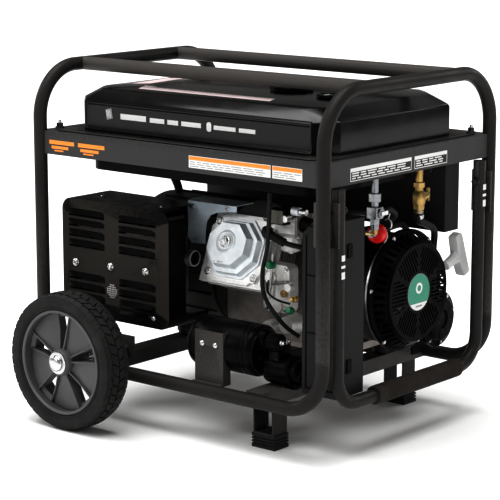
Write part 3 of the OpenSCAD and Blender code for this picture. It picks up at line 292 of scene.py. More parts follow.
class Build:
    """A mesh put together from simple solids, in millimetres, with several finishes."""

    def __init__(self):
        self.bm = bmesh.new()
        self.finishes = []

    def mesh(self, points, faces, finish, place=None):
        place = place or Matrix()
        if finish not in self.finishes:
            self.finishes.append(finish)
        index = self.finishes.index(finish)
        verts = [self.bm.verts.new(place @ Vector(p)) for p in points]
        made = []
        for loop in faces:
            face = self.bm.faces.new([verts[i] for i in loop])
            face.material_index = index
            face.smooth = True
            made.append(face)
        return made

    def box(self, lo, hi, finish, place=None):
        points = [(x, y, z) for x in (lo[0], hi[0]) for y in (lo[1], hi[1])
                  for z in (lo[2], hi[2])]
        faces = [(0, 1, 3, 2), (4, 6, 7, 5), (0, 4, 5, 1), (2, 3, 7, 6), (0, 2, 6, 4),
                 (1, 5, 7, 3)]
        return self.mesh(points, faces, finish, place)

    def loft(self, loops, finish, place=None, caps=True, ring=False):
        """Skins a row of loops that all have the same number of points."""
        n = len(loops[0])
        points = [p for loop in loops for p in loop]
        pairs = list(zip(range(len(loops)), range(1, len(loops))))
        if ring:
            pairs.append((len(loops) - 1, 0))
        faces = [(a * n + k, a * n + (k + 1) % n, b * n + (k + 1) % n, b * n + k)
                 for a, b in pairs for k in range(n)]
        if caps and not ring:
            faces.append(tuple(range(n - 1, -1, -1)))
            faces.append(tuple((len(loops) - 1) * n + k for k in range(n)))
        return self.mesh(points, faces, finish, place)

    def prism(self, outline, z0, z1, finish, place=None, top=None):
        top = top or outline
        return self.loft([[(x, y, z0) for x, y in outline], [(x, y, z1) for x, y in top]],
                         finish, place)

    def lathe(self, profile, finish, place=None, n=48, ring=False):
        """Turns (radius, height) points round the local Z axis."""
        loops = [[(max(r, 0.01) * math.cos(2 * math.pi * k / n),
                   max(r, 0.01) * math.sin(2 * math.pi * k / n), z) for k in range(n)]
                 for r, z in profile]
        return self.loft(loops, finish, place, ring=ring)

    def rod(self, a, b, r, finish, n=24, r2=None):
        a, b = Vector(a), Vector(b)
        place = at(a, b - a)
        return self.lathe([(r, 0), (r if r2 is None else r2, (b - a).length)], finish, place, n)

    def hexagon(self, place, r, z0, z1, finish):
        outline = [polar(r, k * 60 * DEG) for k in range(6)]
        self.prism(outline, z0, z1, finish, place)

    def bolt(self, spot, direction, r, finish="bolt_steel", h=None):
        """A flanged hex bolt head standing on a face."""
        h = h or r * 0.8
        place = at(spot, direction)
        self.lathe([(r * 1.35, 0), (r * 1.35, h * 0.22), (r * 1.1, h * 0.32)], finish, place, 20)
        self.hexagon(place, r, h * 0.2, h, finish)
        self.lathe([(r * 0.55, h), (r * 0.4, h * 1.12)], finish, place, 16)

    def screw(self, spot, direction, r, finish="bolt_steel"):
        """A dome-headed screw with a round dimple in its head."""
        place = at(spot, direction)
        self.lathe([(r, 0), (r, r * 0.2), (r * 0.8, r * 0.5), (r * 0.4, r * 0.66),
                    (r * 0.36, r * 0.5), (0, r * 0.5)], finish, place, 24)

    def tube(self, route, r, finish, sides=16, steps=6, radius_at=None):
        """A round hose along a smooth curve through the route's points."""
        path = smooth_path([Vector(p) for p in route], steps)
        side = None
        loops = []
        for i, p in enumerate(path):
            along = (path[min(i + 1, len(path) - 1)] - path[max(i - 1, 0)]).normalized()
            side = along.orthogonal() if side is None else side - along * side.dot(along)
            side.normalize()
            other = along.cross(side)
            here = radius_at(i, r) if radius_at else r
            loops.append([p + here * (math.cos(2 * math.pi * k / sides) * side
                                      + math.sin(2 * math.pi * k / sides) * other)
                          for k in range(sides)])
        return self.loft(loops, finish)

    def plate(self, outline, holes, z0, z1, finish, place=None):
        """A flat plate with holes; outline and holes are lists of (x, y)."""
        place = place or Matrix()
        flat = bmesh.new()
        for loop in [outline] + list(holes):
            verts = [flat.verts.new((x, y, z0)) for x, y in loop]
            for a, b in zip(verts, verts[1:] + verts[:1]):
                flat.edges.new((a, b))
        bmesh.ops.triangle_fill(flat, use_beauty=True, use_dissolve=False, edges=flat.edges[:])
        out = bmesh.ops.extrude_face_region(flat, geom=flat.faces[:])
        moved = [v for v in out["geom"] if isinstance(v, bmesh.types.BMVert)]
        bmesh.ops.translate(flat, verts=moved, vec=(0, 0, z1 - z0))
        flat.verts.index_update()
        points = [v.co.copy() for v in flat.verts]
        faces = [[v.index for v in f.verts] for f in flat.faces]
        flat.free()
        return self.mesh(points, faces, finish, place)

    def done(self, name, body, nodes=(), bevel=0.7, segments=2):
        """Makes the object, rides it on a body and hides the CAD nodes it stands for."""
        bmesh.ops.recalc_face_normals(self.bm, faces=self.bm.faces)
        if not bevel:
            for edge in self.bm.edges:
                if len(edge.link_faces) == 2 and edge.calc_face_angle(0) > 32 * DEG:
                    edge.smooth = False
        move = Matrix.Scale(MM, 4) @ Matrix.Translation((SHIFT, 0, 0))
        bmesh.ops.transform(self.bm, matrix=move, verts=self.bm.verts)
        mesh = bpy.data.meshes.new(name)
        self.bm.to_mesh(mesh)
        self.bm.free()
        obj = bpy.data.objects.new(name, mesh)
        bpy.context.scene.collection.objects.link(obj)
        for f in self.finishes:
            mesh.materials.append(MATS[f])
        if bevel:
            soften(obj, bevel, segments)
        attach(obj, body)
        if nodes:
            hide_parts(*nodes)
        return obj


def soften(obj, width, segments=2):
    """Rounds an object's hard edges."""
    mod = obj.modifiers.new("edges", "BEVEL")
    mod.width = width * MM
    mod.segments = segments
    mod.limit_method = "ANGLE"
    mod.angle_limit = 35 * DEG
    mod.harden_normals = True
    mod.use_clamp_overlap = True


def smooth_path(p, steps):
    """Catmull-Rom points through a list of vectors."""
    out = []
    for i in range(len(p) - 1):
        a, b, c, d = p[max(i - 1, 0)], p[i], p[i + 1], p[min(i + 2, len(p) - 1)]
        for k in range(steps):
            t = k / steps
            out.append(0.5 * (2 * b + (c - a) * t + (2 * a - 5 * b + 4 * c - d) * t * t
                              + (3 * b - a - 3 * c + d) * t * t * t))
    return out + [p[-1]]


def cut_rect(l, w, c):
    """A rectangle round the origin with its corners cut off by c."""
    a, b = l / 2, w / 2
    return [(a - c, -b), (a, -b + c), (a, b - c), (a - c, b),
            (-a + c, b), (-a, b - c), (-a, -b + c), (-a + c, -b)]


def round_rect(x0, x1, y0, y1, r, n=6):
    out = []
    for cx, cy, a0 in ((x1 - r, y0 + r, -90), (x1 - r, y1 - r, 0), (x0 + r, y1 - r, 90),
                       (x0 + r, y0 + r, 180)):
        for k in range(n + 1):
            a = (a0 + 90 * k / n) * DEG
            out.append((cx + r * math.cos(a), cy + r * math.sin(a)))
    return out


def ring_points(r, n, start=0.0, cx=0.0, cy=0.0):
    return [(cx + r * math.cos(start + 2 * math.pi * k / n),
             cy + r * math.sin(start + 2 * math.pi * k / n)) for k in range(n)]


# ---- sizes from the frame -----------------------------------------------------------

HOOP_X = (box_mm("hoop_engine_end")[0].x + box_mm("hoop_engine_end")[1].x) / 2 - SHIFT
TUBE_R = 13.5
UPRIGHT_Y = box_mm("hoop_engine_end")[1].y - TUBE_R
TOP_Z = box_mm("hoop_engine_end")[1].z - TUBE_R
HANDLE_X = HOOP_X + 4
HANDLE_Y = 229
TOP_RAIL_Y = 144
CRANK_Y, CRANK_Z = CRANK.y, CRANK.z
AXLE = joint_mm("wheel_near_spin")
AXLE_X = AXLE.x - SHIFT
WHEEL_R = 136
WHEEL_MID = (box_mm("tyre_far")[0].y + box_mm("tyre_far")[1].y) / 2
BELT_Y = box_mm("belt_sides")[1].y
BELT_Z = box_mm("belt_sides")[0].z
SHELL_Z = box_mm("tank_upper")[0].z


# ---- wheels -------------------------------------------------------------------------

def tread_block(b, place, a0, a1, w0, w1, slant, r0, r_in, r_out):
    """One tread block between two angles (radians) and two widths."""
    points = []
    for r_a, r_b in ((r0, r0), (r_in, r_out)):
        for w, r in ((w0, r_a), (w1, r_b)):
            for a in (a0, a1):
                angle = a + slant * w
                points.append((*polar(r, angle), w))
    faces = [(0, 1, 3, 2), (4, 6, 7, 5), (0, 4, 5, 1), (2, 3, 7, 6), (0, 2, 6, 4), (1, 5, 7, 3)]
    b.mesh(points, faces, "tyre", place)


def make_tyre(side, name, node, body):
    b = Build()
    place = at((AXLE_X, side * WHEEL_MID, WHEEL_R), (0, side, 0), Z)
    wall = [(104, 24), (105.5, 28), (110, 30.5), (118, 31.6), (126, 31), (130.5, 29), (132.2, 26)]
    profile = wall + [(r, -w) for r, w in reversed(wall)]
    b.lathe(profile, "tyre", place, 96, ring=True)
    count = 42
    pitch = 2 * math.pi / count
    rows = [(-30, -17.5, 0.0035, 131.5, 134.2), (-15.8, -1.2, -0.0035, 135.6, 136),
            (1.2, 15.8, 0.0035, 136, 135.6), (17.5, 30, -0.0035, 134.2, 131.5)]
    for i in range(count):
        for k, (w0, w1, slant, r_in, r_out) in enumerate(rows):
            start = (i + 0.5 * (k % 2)) * pitch
            tread_block(b, place, start, start + pitch * 0.84, w0, w1, slant, 129, r_in, r_out)
    for w in (30.9, -30.9):
        b.lathe([(108.5, w - 0.6), (108.5, w + 0.6), (110, w + 0.6), (110, w - 0.6)], "tyre",
                place, 96, ring=True)
    b.done(name, body, [node], 0.6, 1)


def make_hub(side, name, node, body):
    b = Build()
    place = at((AXLE_X, side * WHEEL_MID, WHEEL_R), (0, side, 0), Z)
    b.lathe([(97, 26), (99, 28.5), (103, 28.5), (104, 27), (104, -27), (97, -27), (97, -4),
             (99, 0), (98.5, 14)], "hub_plastic", place, 96, ring=True)
    b.lathe([(10.2, -31), (24, -31), (26, -8), (27, 10), (26.5, 26), (24.5, 30.8), (14, 31),
             (10.2, 31)], "hub_plastic", place, 48, ring=True)
    for i in range(5):
        window = i * 72 * DEG
        a0, a1 = window + 11 * DEG, window + 61 * DEG
        steps = 7
        front, back = [], []
        for k in range(steps + 1):
            t = k / steps
            angle = a0 + (a1 - a0) * t
            twist = 1.5 + 7 * t
            row_f, row_b = [], []
            for r, lift in ((25, 16), (45, 10 + twist * 0.5), (75, 6 + twist), (97.5, 5 + twist)):
                spread = angle if r > 30 else window + (18 + 38 * t) * DEG
                row_f.append((*polar(r, spread), lift))
                row_b.append((*polar(r, spread), lift - 5))
            front.append(row_f)
            back.append(row_b)
        loops = [f + list(reversed(bk)) for f, bk in zip(front, back)]
        b.loft(loops, "hub_plastic", place)
        for a, lift in ((a0, 14), (a1, 19)):
            rib = at((0, 0, 0), Z, (*polar(1, a), 0))
            outline = [(24, -6), (97.5, -6), (97.5, lift - 2), (60, lift), (24, 22)]
            loops = [[(x, w, z) for x, z in outline] for w in (-1.7, 1.7)]
            b.loft(loops, "hub_plastic", place @ rib)
        arc = [window - 11 * DEG + k * 22 * DEG / 5 for k in range(6)]
        loops = [[(*polar(88, a), 8), (*polar(97.5, a), 12), (*polar(97.5, a), 0),
                  (*polar(88, a), 2)] for a in arc]
        b.loft(loops, "hub_plastic", place)
    b.done(name, body, [node], 0.9, 2)


def make_axle_caps():
    b = Build()
    for side in (NEAR, FAR):
        place = at((AXLE_X, side * WHEEL_MID, WHEEL_R), (0, side, 0), Z)
        b.lathe([(10, 31.4), (21, 31.4), (22, 32.2), (22, 33.8), (17.5, 34.6)], "bolt_steel", place)
        b.lathe([(16, 34.4), (15.8, 37), (14.4, 40), (11, 42.3), (6, 43.3), (0, 43.5)],
                "bolt_steel", place)
        b.lathe([(10, -31.5), (14, -31.5), (14, -107), (10, -107)], "bolt_steel", place, ring=True)
    b.done("axle_caps", "frame", ["axle_nuts"], 0.5)


# ---- frame trim ---------------------------------------------------------------------

def weld_bead(b, centre, axis, r, finish="weld"):
    """A rippled ring of weld round a tube."""
    place = at(centre, axis)
    rng = random.Random(hash_seed(centre))
    n = 28
    loops = []
    for k in range(n):
        a = 2 * math.pi * k / n
        fat = 1.4 + 0.35 * math.sin(k * 2.4) + 0.25 * rng.random()
        loops.append([((r + fat * math.cos(t)) * math.cos(a), (r + fat * math.cos(t)) * math.sin(a),
                       fat * 1.2 * math.sin(t)) for t in (j * math.pi / 3 for j in range(6))])
    b.loft(loops, finish, place, ring=True)


def hash_seed(v):
    return int(abs(v[0]) * 7 + abs(v[1]) * 13 + abs(v[2]) * 29)


def make_welds():
    b = Build()
    for sx in (-1, 1):
        for sy in (-1, 1):
            weld_bead(b, (sx * (HOOP_X - TUBE_R - 1), sy * TOP_RAIL_Y, TOP_Z), (1, 0, 0),
                      TUBE_R - 1.5)
            weld_bead(b, (sx * HOOP_X, sy * UPRIGHT_Y, 207), (0, 0, 1), TUBE_R - 1.5)
    b.done("weld_beads", "frame", bevel=0)


def make_marks():
    """Generic printed marks: plain bars and frames instead of any wording."""
    b = Build()
    rng = random.Random(4)
    y = -BELT_Y - 0.25
    for x0, x1 in ((-331, -262), (-251, -179)):
        b.box((x0, y, BELT_Z + 21), (x1, y + 0.5, BELT_Z + 29), "orange_mark")
        b.box((x0 + 6, y, BELT_Z + 12), (x1 - 16, y + 0.5, BELT_Z + 18), "orange_mark")
        b.box((x0 + 14, y, BELT_Z + 7), (x1 - 30, y + 0.5, BELT_Z + 10), "orange_mark")
    for x0, x1 in ((40, 238), (242, 311)):
        b.box((x0, y, BELT_Z + 9), (x1, y + 0.5, BELT_Z + 32), "white_mark")
        b.box((x0 + 1, y - 0.2, BELT_Z + 24), (x1 - 1, y + 0.3, BELT_Z + 31), "orange_mark")
        for row in (19.5, 15.5, 11.5):
            x = x0 + 3
            while x < x1 - 16:
                long = rng.uniform(9, 26)
                b.box((x, y - 0.2, BELT_Z + row), (min(x + long, x1 - 3), y + 0.3,
                      BELT_Z + row + 1.5), "grey_mark")
                x += long + 4
    x = HOOP_X + 4.25
    for y0, y1 in ((-194, -4), (6, 114)):
        b.box((x - 0.5, y0, BELT_Z + 5), (x, y1, BELT_Z + 29), "white_mark")
        b.box((x - 0.4, y0 + 1.5, BELT_Z + 6.5), (x + 0.1, y1 - 1.5, BELT_Z + 22), "black_paint")
        for row in (18, 13.5, 9):
            yy = y0 + 5
            while yy < y1 - 18:
                long = rng.uniform(10, 30)
                b.box((x - 0.3, yy, BELT_Z + row), (x + 0.2, min(yy + long, y1 - 5),
                      BELT_Z + row + 2.4), "white_mark")
                yy += long + 5
    b.done("belt_marks", "frame", bevel=0)
    b = Build()
    for side in (NEAR, FAR):
        for z0, z1, w in ((0, 16, 5), (20, 28, 6), (33, 47, 5)):
            z = (352 if side == NEAR else 425) + z0
            x = HANDLE_X + 12.3
            y = side * HANDLE_Y
            b.box((x, y - w, z), (x + 0.4, y + w, z + z1 - z0 - 3), "white_mark")
    b.done("handle_marks", "handle", bevel=0)


def make_foot_bolts():
    b = Build()
    for side in (NEAR, FAR):
        b.bolt((190, side * 210, 31), Z, 6.5)
    b.done("foot_bolts", "frame", bevel=0.3)


# ---- handle -------------------------------------------------------------------------

def make_grip():
    b = Build()
    y0, y1 = -115, 160
    place = at((HANDLE_X, y0, 110), (0, 1, 0), Z)
    rng = random.Random(11)
    long = y1 - y0
    profile = [(12.6, 0), (16.4, 0.2), (18.0, 1.6)]
    steps = 60
    for k in range(1, steps):
        profile.append((18.2 + rng.uniform(-0.12, 0.12), 1.6 + (long - 3.2) * k / steps))
    profile += [(18.0, long - 1.6), (16.4, long - 0.2), (12.6, long)]
    b.lathe(profile, "foam", place, 48, ring=True)
    b.done("foam_grip", "handle", ["handle_grip"], 0)


def make_handle_bolts():
    b = Build()
    for side in (NEAR, FAR):
        x, z = HANDLE_X, 475
        b.rod((x, side * 216, z), (x, side * 249.5, z), 5, "dark_bolt")
        b.bolt((x, side * 216, z), (0, -side, 0), 6.6, "dark_bolt", 6.8)
        b.rod((x, side * 242, z), (x, side * 244.4, z), 9, "dark_bolt")
    b.done("handle_pivots", "frame", ["handle_bolts"], 0.4)


# ---- tank ---------------------------------------------------------------------------

TANK_WALL_Y = -213      # outer face of the tank shell, near side
TANK_RECESS = 2.5       # how far the panel in each long wall is set back


def make_tank():
    b = Build()
    loops = []
    for l, w, c, z in ((650, -2 * TANK_WALL_Y, 38, 0), (650, -2 * TANK_WALL_Y, 38, 56),
                       (646, 422, 38, 61), (590, 390, 45, 80), (576, 378, 45, 82.5),
                       (394, 240, 46, 87), (386, 232, 46, 88)):
        loops.append([(x, y, z) for x, y in cut_rect(l, w, c)])
    place = Matrix.Translation((0, 0, SHELL_Z))
    made = b.loft(loops, "tank_gloss", place, caps=True)
    for wall in made:
        wall.normal_update()
        middle = wall.calc_center_median()
        if middle.z < SHELL_Z + 30 and abs(wall.normal.y) > 0.95:
            inward = -1 if wall.normal.y * middle.y > 0 else 1
            bmesh.ops.inset_region(b.bm, faces=[wall], thickness=5, depth=0)
            bmesh.ops.inset_region(b.bm, faces=[wall], thickness=2.5,
                                   depth=TANK_RECESS * inward)
    b.lathe([(26, 70), (30, 70), (30, 91.5), (28.5, 92), (26, 92)], "tank_gloss",
            Matrix.Translation((100, -35, SHELL_Z)), ring=True)
    b.done("tank_shell", "frame", ["tank_upper"], 4.5, 3)


def make_tank_marks():
    """Plain bars where the tank carries print, and pink strips on the top slopes that are painted reflections of a
    lamp.
    """
    b = Build()
    y = TANK_WALL_Y + TANK_RECESS - 0.3
    low = SHELL_Z + 24
    place = at((-218, y, low), (0, -1, 0), X)
    b.prism([(-9, -1), (7, 3), (3, 23), (-13, 19)], 0, 0.5, "grey_mark", place)
    for k in (-4, 0, 4):
        b.prism([(k - 3.4, 4), (k - 1.6, 4), (k - 4.6, 18), (k - 6.4, 18)], 0.4, 0.7,
                "white_mark", place)
    for x0, x1, height in ((-190, -122, 11), (-112, -74, 9), (-66, -38, 9), (-30, 20, 9),
                           (52, 106, 8), (114, 154, 8)):
        b.box((x0, y - 0.5, low + 3), (x1, y, low + 3 + height), "white_mark")
    b.prism(round_rect(34, 46, -2, 16, 5), 0, 0.5, "white_mark", at((0, y, low), (0, -1, 0), X))
    b.done("tank_marks", "frame", bevel=0)
    b = Build()
    # The pink strips below are painted reflections of a lamp on the top slopes, not print.
    top = SHELL_Z + 82.5
    b.loft([[(-184, -165, top + 1.2), (-198, -130, top + 3.4), (-198, -130, top + 3.8),
             (-184, -165, top + 1.7)],
            [(150, -165, top + 1.2), (140, -130, top + 3.4), (140, -130, top + 3.8),
             (150, -165, top + 1.7)]], "painted_reflection_pink")
    b.loft([[(-256, -108, top + 1.5), (-214, -98, top + 3.7), (-214, -98, top + 4.2),
             (-256, -108, top + 2)],
            [(-268, 10, top + 1.5), (-226, 20, top + 3.7), (-226, 20, top + 4.2),
             (-268, 10, top + 2)]], "painted_reflection_pink")
    b.done("tank_painted_reflections", "frame", bevel=0)


def make_cap_and_gauge():
    b = Build()
    lo = box_mm("fuel_cap")[0]
    place = Matrix.Translation((100, -35, lo.z))
    n = 72
    loops = []
    for z, base, rib in ((0.4, 39, 2.4), (1.4, 40, 2.4), (9.5, 40, 2.4), (11, 38.6, 2.4),
                         (11.4, 30, 0), (9.4, 28, 0)):
        loops.append([(*polar(base + (rib if (k // 3) % 3 else 0), 2 * math.pi * k / n), z)
                      for k in range(n)])
    b.loft(loops, "black_plastic", place)
    b.box((-26, -4, 9), (26, 4, 12), "black_plastic", place)
    b.done("fuel_cap_top", "fuel_cap", ["fuel_cap"], 0.5)
    b = Build()
    top = SHELL_Z + 88
    place = Matrix.Translation((215, -70, top))
    b.lathe([(11.5, -18), (11.5, 0), (22, 0), (22, 4.5), (20.5, 6), (18, 6), (17.5, 4.6),
             (0, 4.6)], "black_plastic", place, 48)
    b.lathe([(17.4, 4.7), (0, 5.1)], "glass", place, 40)
    b.box((-1, -13, 4.9), (1, 4, 5.3), "white_mark", place)
    b.done("fuel_gauge_dial", "frame", ["fuel_gauge"], 0.4)


def make_tank_bolts():
    b = Build()
    for sx in (-1, 1):
        for sy in (-1, 1):
            spot = Vector((sx * 338, sy * 232, SHELL_Z))
            b.rod(spot + Vector((0, 0, -2.4)), spot, 3.9, "dark_bolt")
            b.bolt(spot, Z, 7, "dark_bolt", 10)
            b.rod(spot + Vector((0, 0, 9)), spot + Vector((0, 0, 16)), 3.4, "bolt_steel", 16, 3)
            b.lathe([(9.5, 0), (9, 2.2)], "rubber", Matrix.Translation(spot), 24)
    b.done("tank_bolt_heads", "frame", ["tank_bolts"], 0.4)


# ---- muffler guard ------------------------------------------------------------------

def make_guard():
    b = Build()
    lo, hi = box_mm("muffler_guard")
    x0, x1, y0, y1, z0, z1 = lo.x - SHIFT, hi.x - SHIFT, lo.y, hi.y, lo.z, hi.z
    face = at((0, y0, 0), (0, 1, 0), X)
    flip = -1 if (face @ Vector((0, 1, 0)) - face @ Vector((0, 0, 0))).z < 0 else 1
    outline = [(x, flip * z) for x, z in round_rect(x0, x1, z0, z1, 24)]
    cols = ((-335, -235), (-196, -97))
    rows_top = [z1 - 36 - 21 * i for i in range(4)]
    rows_low = [z0 + 72 - 21 * i for i in range(3)]
    holes, hoods = [], []
    for c, col in enumerate(cols):
        for z in rows_top + [r + (0 if c == 0 else 1) for r in rows_low]:
            hole = [(col[0], z), (col[1], z), (col[1], z + 5), (col[0], z + 5)]
            holes.append([(x, flip * h) for x, h in hole])
            hoods.append((col, z))
    slot = round_rect(-198, -116, z0 + 16, z0 + 25, 3, 3)
    holes.append([(x, flip * h) for x, h in slot])
    b.plate(outline, holes, 0, 1.8, "guard_paint", face)
    for (a, c), z in hoods:
        loops = []
        for k in range(13):
            t = k / 12
            x = a + (c - a) * t
            swell = max(0.0, math.sin(math.pi * t)) ** 0.35
            loops.append([(x, y0 + 0.4, z + 16.5), (x, y0 - 2.6 * swell, z + 12),
                          (x, y0 - 5.0 * swell, z + 5.2), (x, y0 - 4.0 * swell, z + 4.4),
                          (x, y0 + 0.2, z + 9)])
        b.loft(loops, "guard_paint")
    inner = round_rect(x0 + 1.8, x1 - 1.8, z0 + 1.8, z1 - 1.8, 22.2)
    outer = round_rect(x0, x1, z0, z1, 24)
    n = len(outer)
    for k in range(n):
        j = (k + 1) % n
        mid_x = (outer[k][0] + outer[j][0]) / 2
        mid_z = (outer[k][1] + outer[j][1]) / 2
        deep = y1
        if mid_x > x1 - 49 and mid_z > z0 + 111:
            deep = y0 + 50
        quad = [outer[k], outer[j], inner[j], inner[k]]
        b.loft([[(x, y0 + 1, z) for x, z in quad], [(x, deep, z) for x, z in quad]],
               "guard_paint")
    b.box((x1 - 50, y0 + 50, z0 + 110), (x1 - 1, y0 + 51.8, z1 - 24), "guard_paint")
    b.box((x1 - 51.8, y0 + 50, z0 + 110), (x1 - 50, y1, z1 - 2), "guard_paint")
    b.done("guard_shell", "frame", ["muffler_guard"], 0.8)
    b = Build()
    for x, z in ((-315, 293), (-218, 296), (-123, 298)):
        b.screw((x, y0 + 0.2, z), (0, -1, 0), 8.5)
    b.screw((-103, y0 + 0.2, z0 + 20), (0, -1, 0), 5)
    for x, y in ((-290, -160), (-112, -178)):
        b.screw((x, y, z1 - 0.2), Z, 5)
    for row in range(-3, 4):
        for col in range(-3, 4):
            if row * row + col * col < 11:
                b.lathe([(1.7, 0), (1.7, 1), (0.6, 1.1)], "steel",
                        at((-215 + col * 4.2, y0 + 0.1, z0 + 60 + row * 4.2), (0, -1, 0)), 8)
    b.screw((-118, -120, 353), (0, -1, 0), 8)
    b.done("guard_screws", "frame", bevel=0.3)


# ---- engine -------------------------------------------------------------------------

TILT = 22 * DEG
CYL = at((26, CRANK_Y, CRANK_Z), (0, -math.cos(TILT), math.sin(TILT)), X)
CYL_SIDE = 1 if (CYL @ Vector((0, 1, 0)) - CYL @ Vector((0, 0, 0))).z > 0 else -1


def on_cylinder(z):
    return CYL @ Matrix.Translation((0, 0, z))


def make_valve_cover():
    b = Build()
    s = CYL_SIDE
    place = on_cylinder(202)
    b.prism(cut_rect(132, 118, 34), 0, 4, "zinc", place)
    b.prism(cut_rect(122, 108, 32), 4, 15, "zinc", place, cut_rect(116, 102, 30))
    shifted = [(x - 4, y + 3 * s) for x, y in cut_rect(104, 92, 28)]
    crown = [(x - 4, y + 3 * s) for x, y in cut_rect(96, 84, 26)]
    b.prism(shifted, 15, 27, "zinc", place, crown)
    b.prism(crown, 27, 30, "zinc", place, [(x * 0.97 - 0.1, y * 0.97) for x, y in crown])
    hub = place @ Matrix.Translation((-6, 6 * s, 29.6))
    b.lathe([(24, 0), (23, 1.6), (20, 2.4), (17, 0.6), (12, 0.6), (11.5, 3), (0, 3)], "zinc", hub,
            48)
    b.lathe([(12, 2.8), (12, 4.2), (10, 4.6)], "bolt_steel", hub, 32)
    b.hexagon(hub, 9.5, 4, 9.6, "bolt_steel")
    b.lathe([(5.5, 9.4), (4.6, 10.4), (0, 10.4)], "bolt_steel", hub, 24)
    b.prism([(x, y) for x, y in ((-30, -36 * s), (-2, -36 * s), (-2, -33 * s), (-30, -33 * s))],
            29.8, 30.6, "bolt_steel", place)
    b.done("valve_cover_shell", "frame", ["valve_cover"], 1.2, 3)


def make_heat_shield():
    b = Build()
    lo, hi = box_mm("heat_shield")
    x0, x1 = lo.x - SHIFT, hi.x - SHIFT
    place = XZ_FACE
    edge = [(-58, lo.z + 2), (-57, lo.z + 28), (-53, lo.z + 48), (-44, lo.z + 60),
            (-30, lo.z + 67), (-8, lo.z + 71), (x1, lo.z + 74)]
    outline = [(x0 + 10, lo.z)] + edge + [(x1, hi.z), (x0, hi.z), (x0, lo.z + 12)]
    b.prism(outline, lo.y, lo.y + 2, "blue_zinc", place)
    b.box((x0, lo.y, hi.z - 2), (x1, hi.y, hi.z), "blue_zinc")
    b.box((x0, lo.y, lo.z + 12), (x0 + 2, hi.y, hi.z), "blue_zinc")
    b.loft([[(x0 + 10, lo.y, lo.z + 4), (x0 + 40, lo.y, lo.z + 6), (x0 + 40, lo.y - 2, lo.z + 6),
             (x0 + 10, lo.y - 2, lo.z + 4)],
            [(x0 + 12, lo.y, lo.z + 9), (x0 + 40, lo.y, lo.z + 11),
             (x0 + 40, lo.y - 2, lo.z + 11), (x0 + 12, lo.y - 2, lo.z + 9)]], "blue_zinc")
    for x, z in ((-92, hi.z - 14), (0, hi.z - 7)):
        b.bolt((x, lo.y, z), (0, -1, 0), 3.6)
    b.done("shield_sheet", "frame", ["heat_shield"], 0.6)


def make_head_details():
    b = Build()
    s = CYL_SIDE
    place = on_cylinder(160)
    b.prism([(-80, -72 * s), (80, -72 * s), (80, -50 * s), (66, -66 * s), (-60, -66 * s),
             (-72, -40 * s), (-80, -40 * s)], 24, 36, "cast_aluminium", place)
    b.prism(cut_rect(150, 138, 30), 36, 41.8, "cast_aluminium", place)
    for x, y in ((-58, -52), (58, -52), (-58, 50)):
        spot = place @ Vector((x, y * s, 42))
        b.bolt(spot, place.to_3x3() @ Z, 6)
    b.done("head_plate", "frame", bevel=0.8)


def make_engine_trim():
    """Castings, linkage, plugs, clips and cables between the cylinder and the air cleaner."""
    b = Build()
    b.lathe([(14, 0), (17, 3), (17, 20), (12, 26), (12, 34)], "cast_aluminium",
            at((112, -88, 300), (0.15, -1, 0.1)), 28)
    b.prism(round_rect(96, 160, 236, 330, 12), -116, -88, "cast_aluminium",
            XZ_FACE)
    b.rod((130, -120, 250), (130, -96, 250), 14, "cast_aluminium", 28)
    b.rod((160, -128, 216), (160, -92, 216), 16, "cast_aluminium", 28, 20)
    b.rod((110, -122, 205), (110, -96, 205), 12, "cast_aluminium", 28)
    for spot in ((104, -116, 244), (152, -116, 244), (104, -116, 320), (152, -116, 320)):
        b.bolt(spot, (0, -1, 0), 5)
    b.rod((96, -118, 286), (160, -120, 300), 3, "steel", 12)
    b.rod((118, -124, 262), (124, -122, 352), 2.4, "steel", 12)
    b.tube([(139, -150, 475), (134, -150, 377), (121, -150, 317), (130, -152, 270),
            (171, -150, 226), (196, -130, 200)], 4.2, "rubber", 14)
    b.tube([(120, -130, 300), (126, -140, 280), (150, -142, 268), (176, -134, 262)], 2.2,
           "rubber", 10)
    b.lathe([(7.5, 0), (8, 3), (8, 14), (6.5, 17), (0, 17.5)], "green_plastic",
            at((120, -116, 328), (0, -1, 0.15)), 20)
    b.lathe([(6.5, 0), (7, 3), (7, 12), (5.5, 15), (0, 15.4)], "green_plastic",
            at((178, -130, 248), (0.1, -1, 0.3)), 20)
    b.lathe([(5, 0), (6.5, 1), (6.5, 9), (4, 11), (4, 18), (0, 18)], "brass",
            at((186, -126, 272), (0, -1, 0.1)), 18)
    b.hexagon(at((150, -117, 276), (0, -1, 0)), 7.5, 0, 7, "brass")
    for k in range(5):
        b.rod((168, -118 - 3 * k, 292), (168, -120.2 - 3 * k, 292), 8, "cast_aluminium", 20)
    b.done("engine_trim", "frame", bevel=0.5)


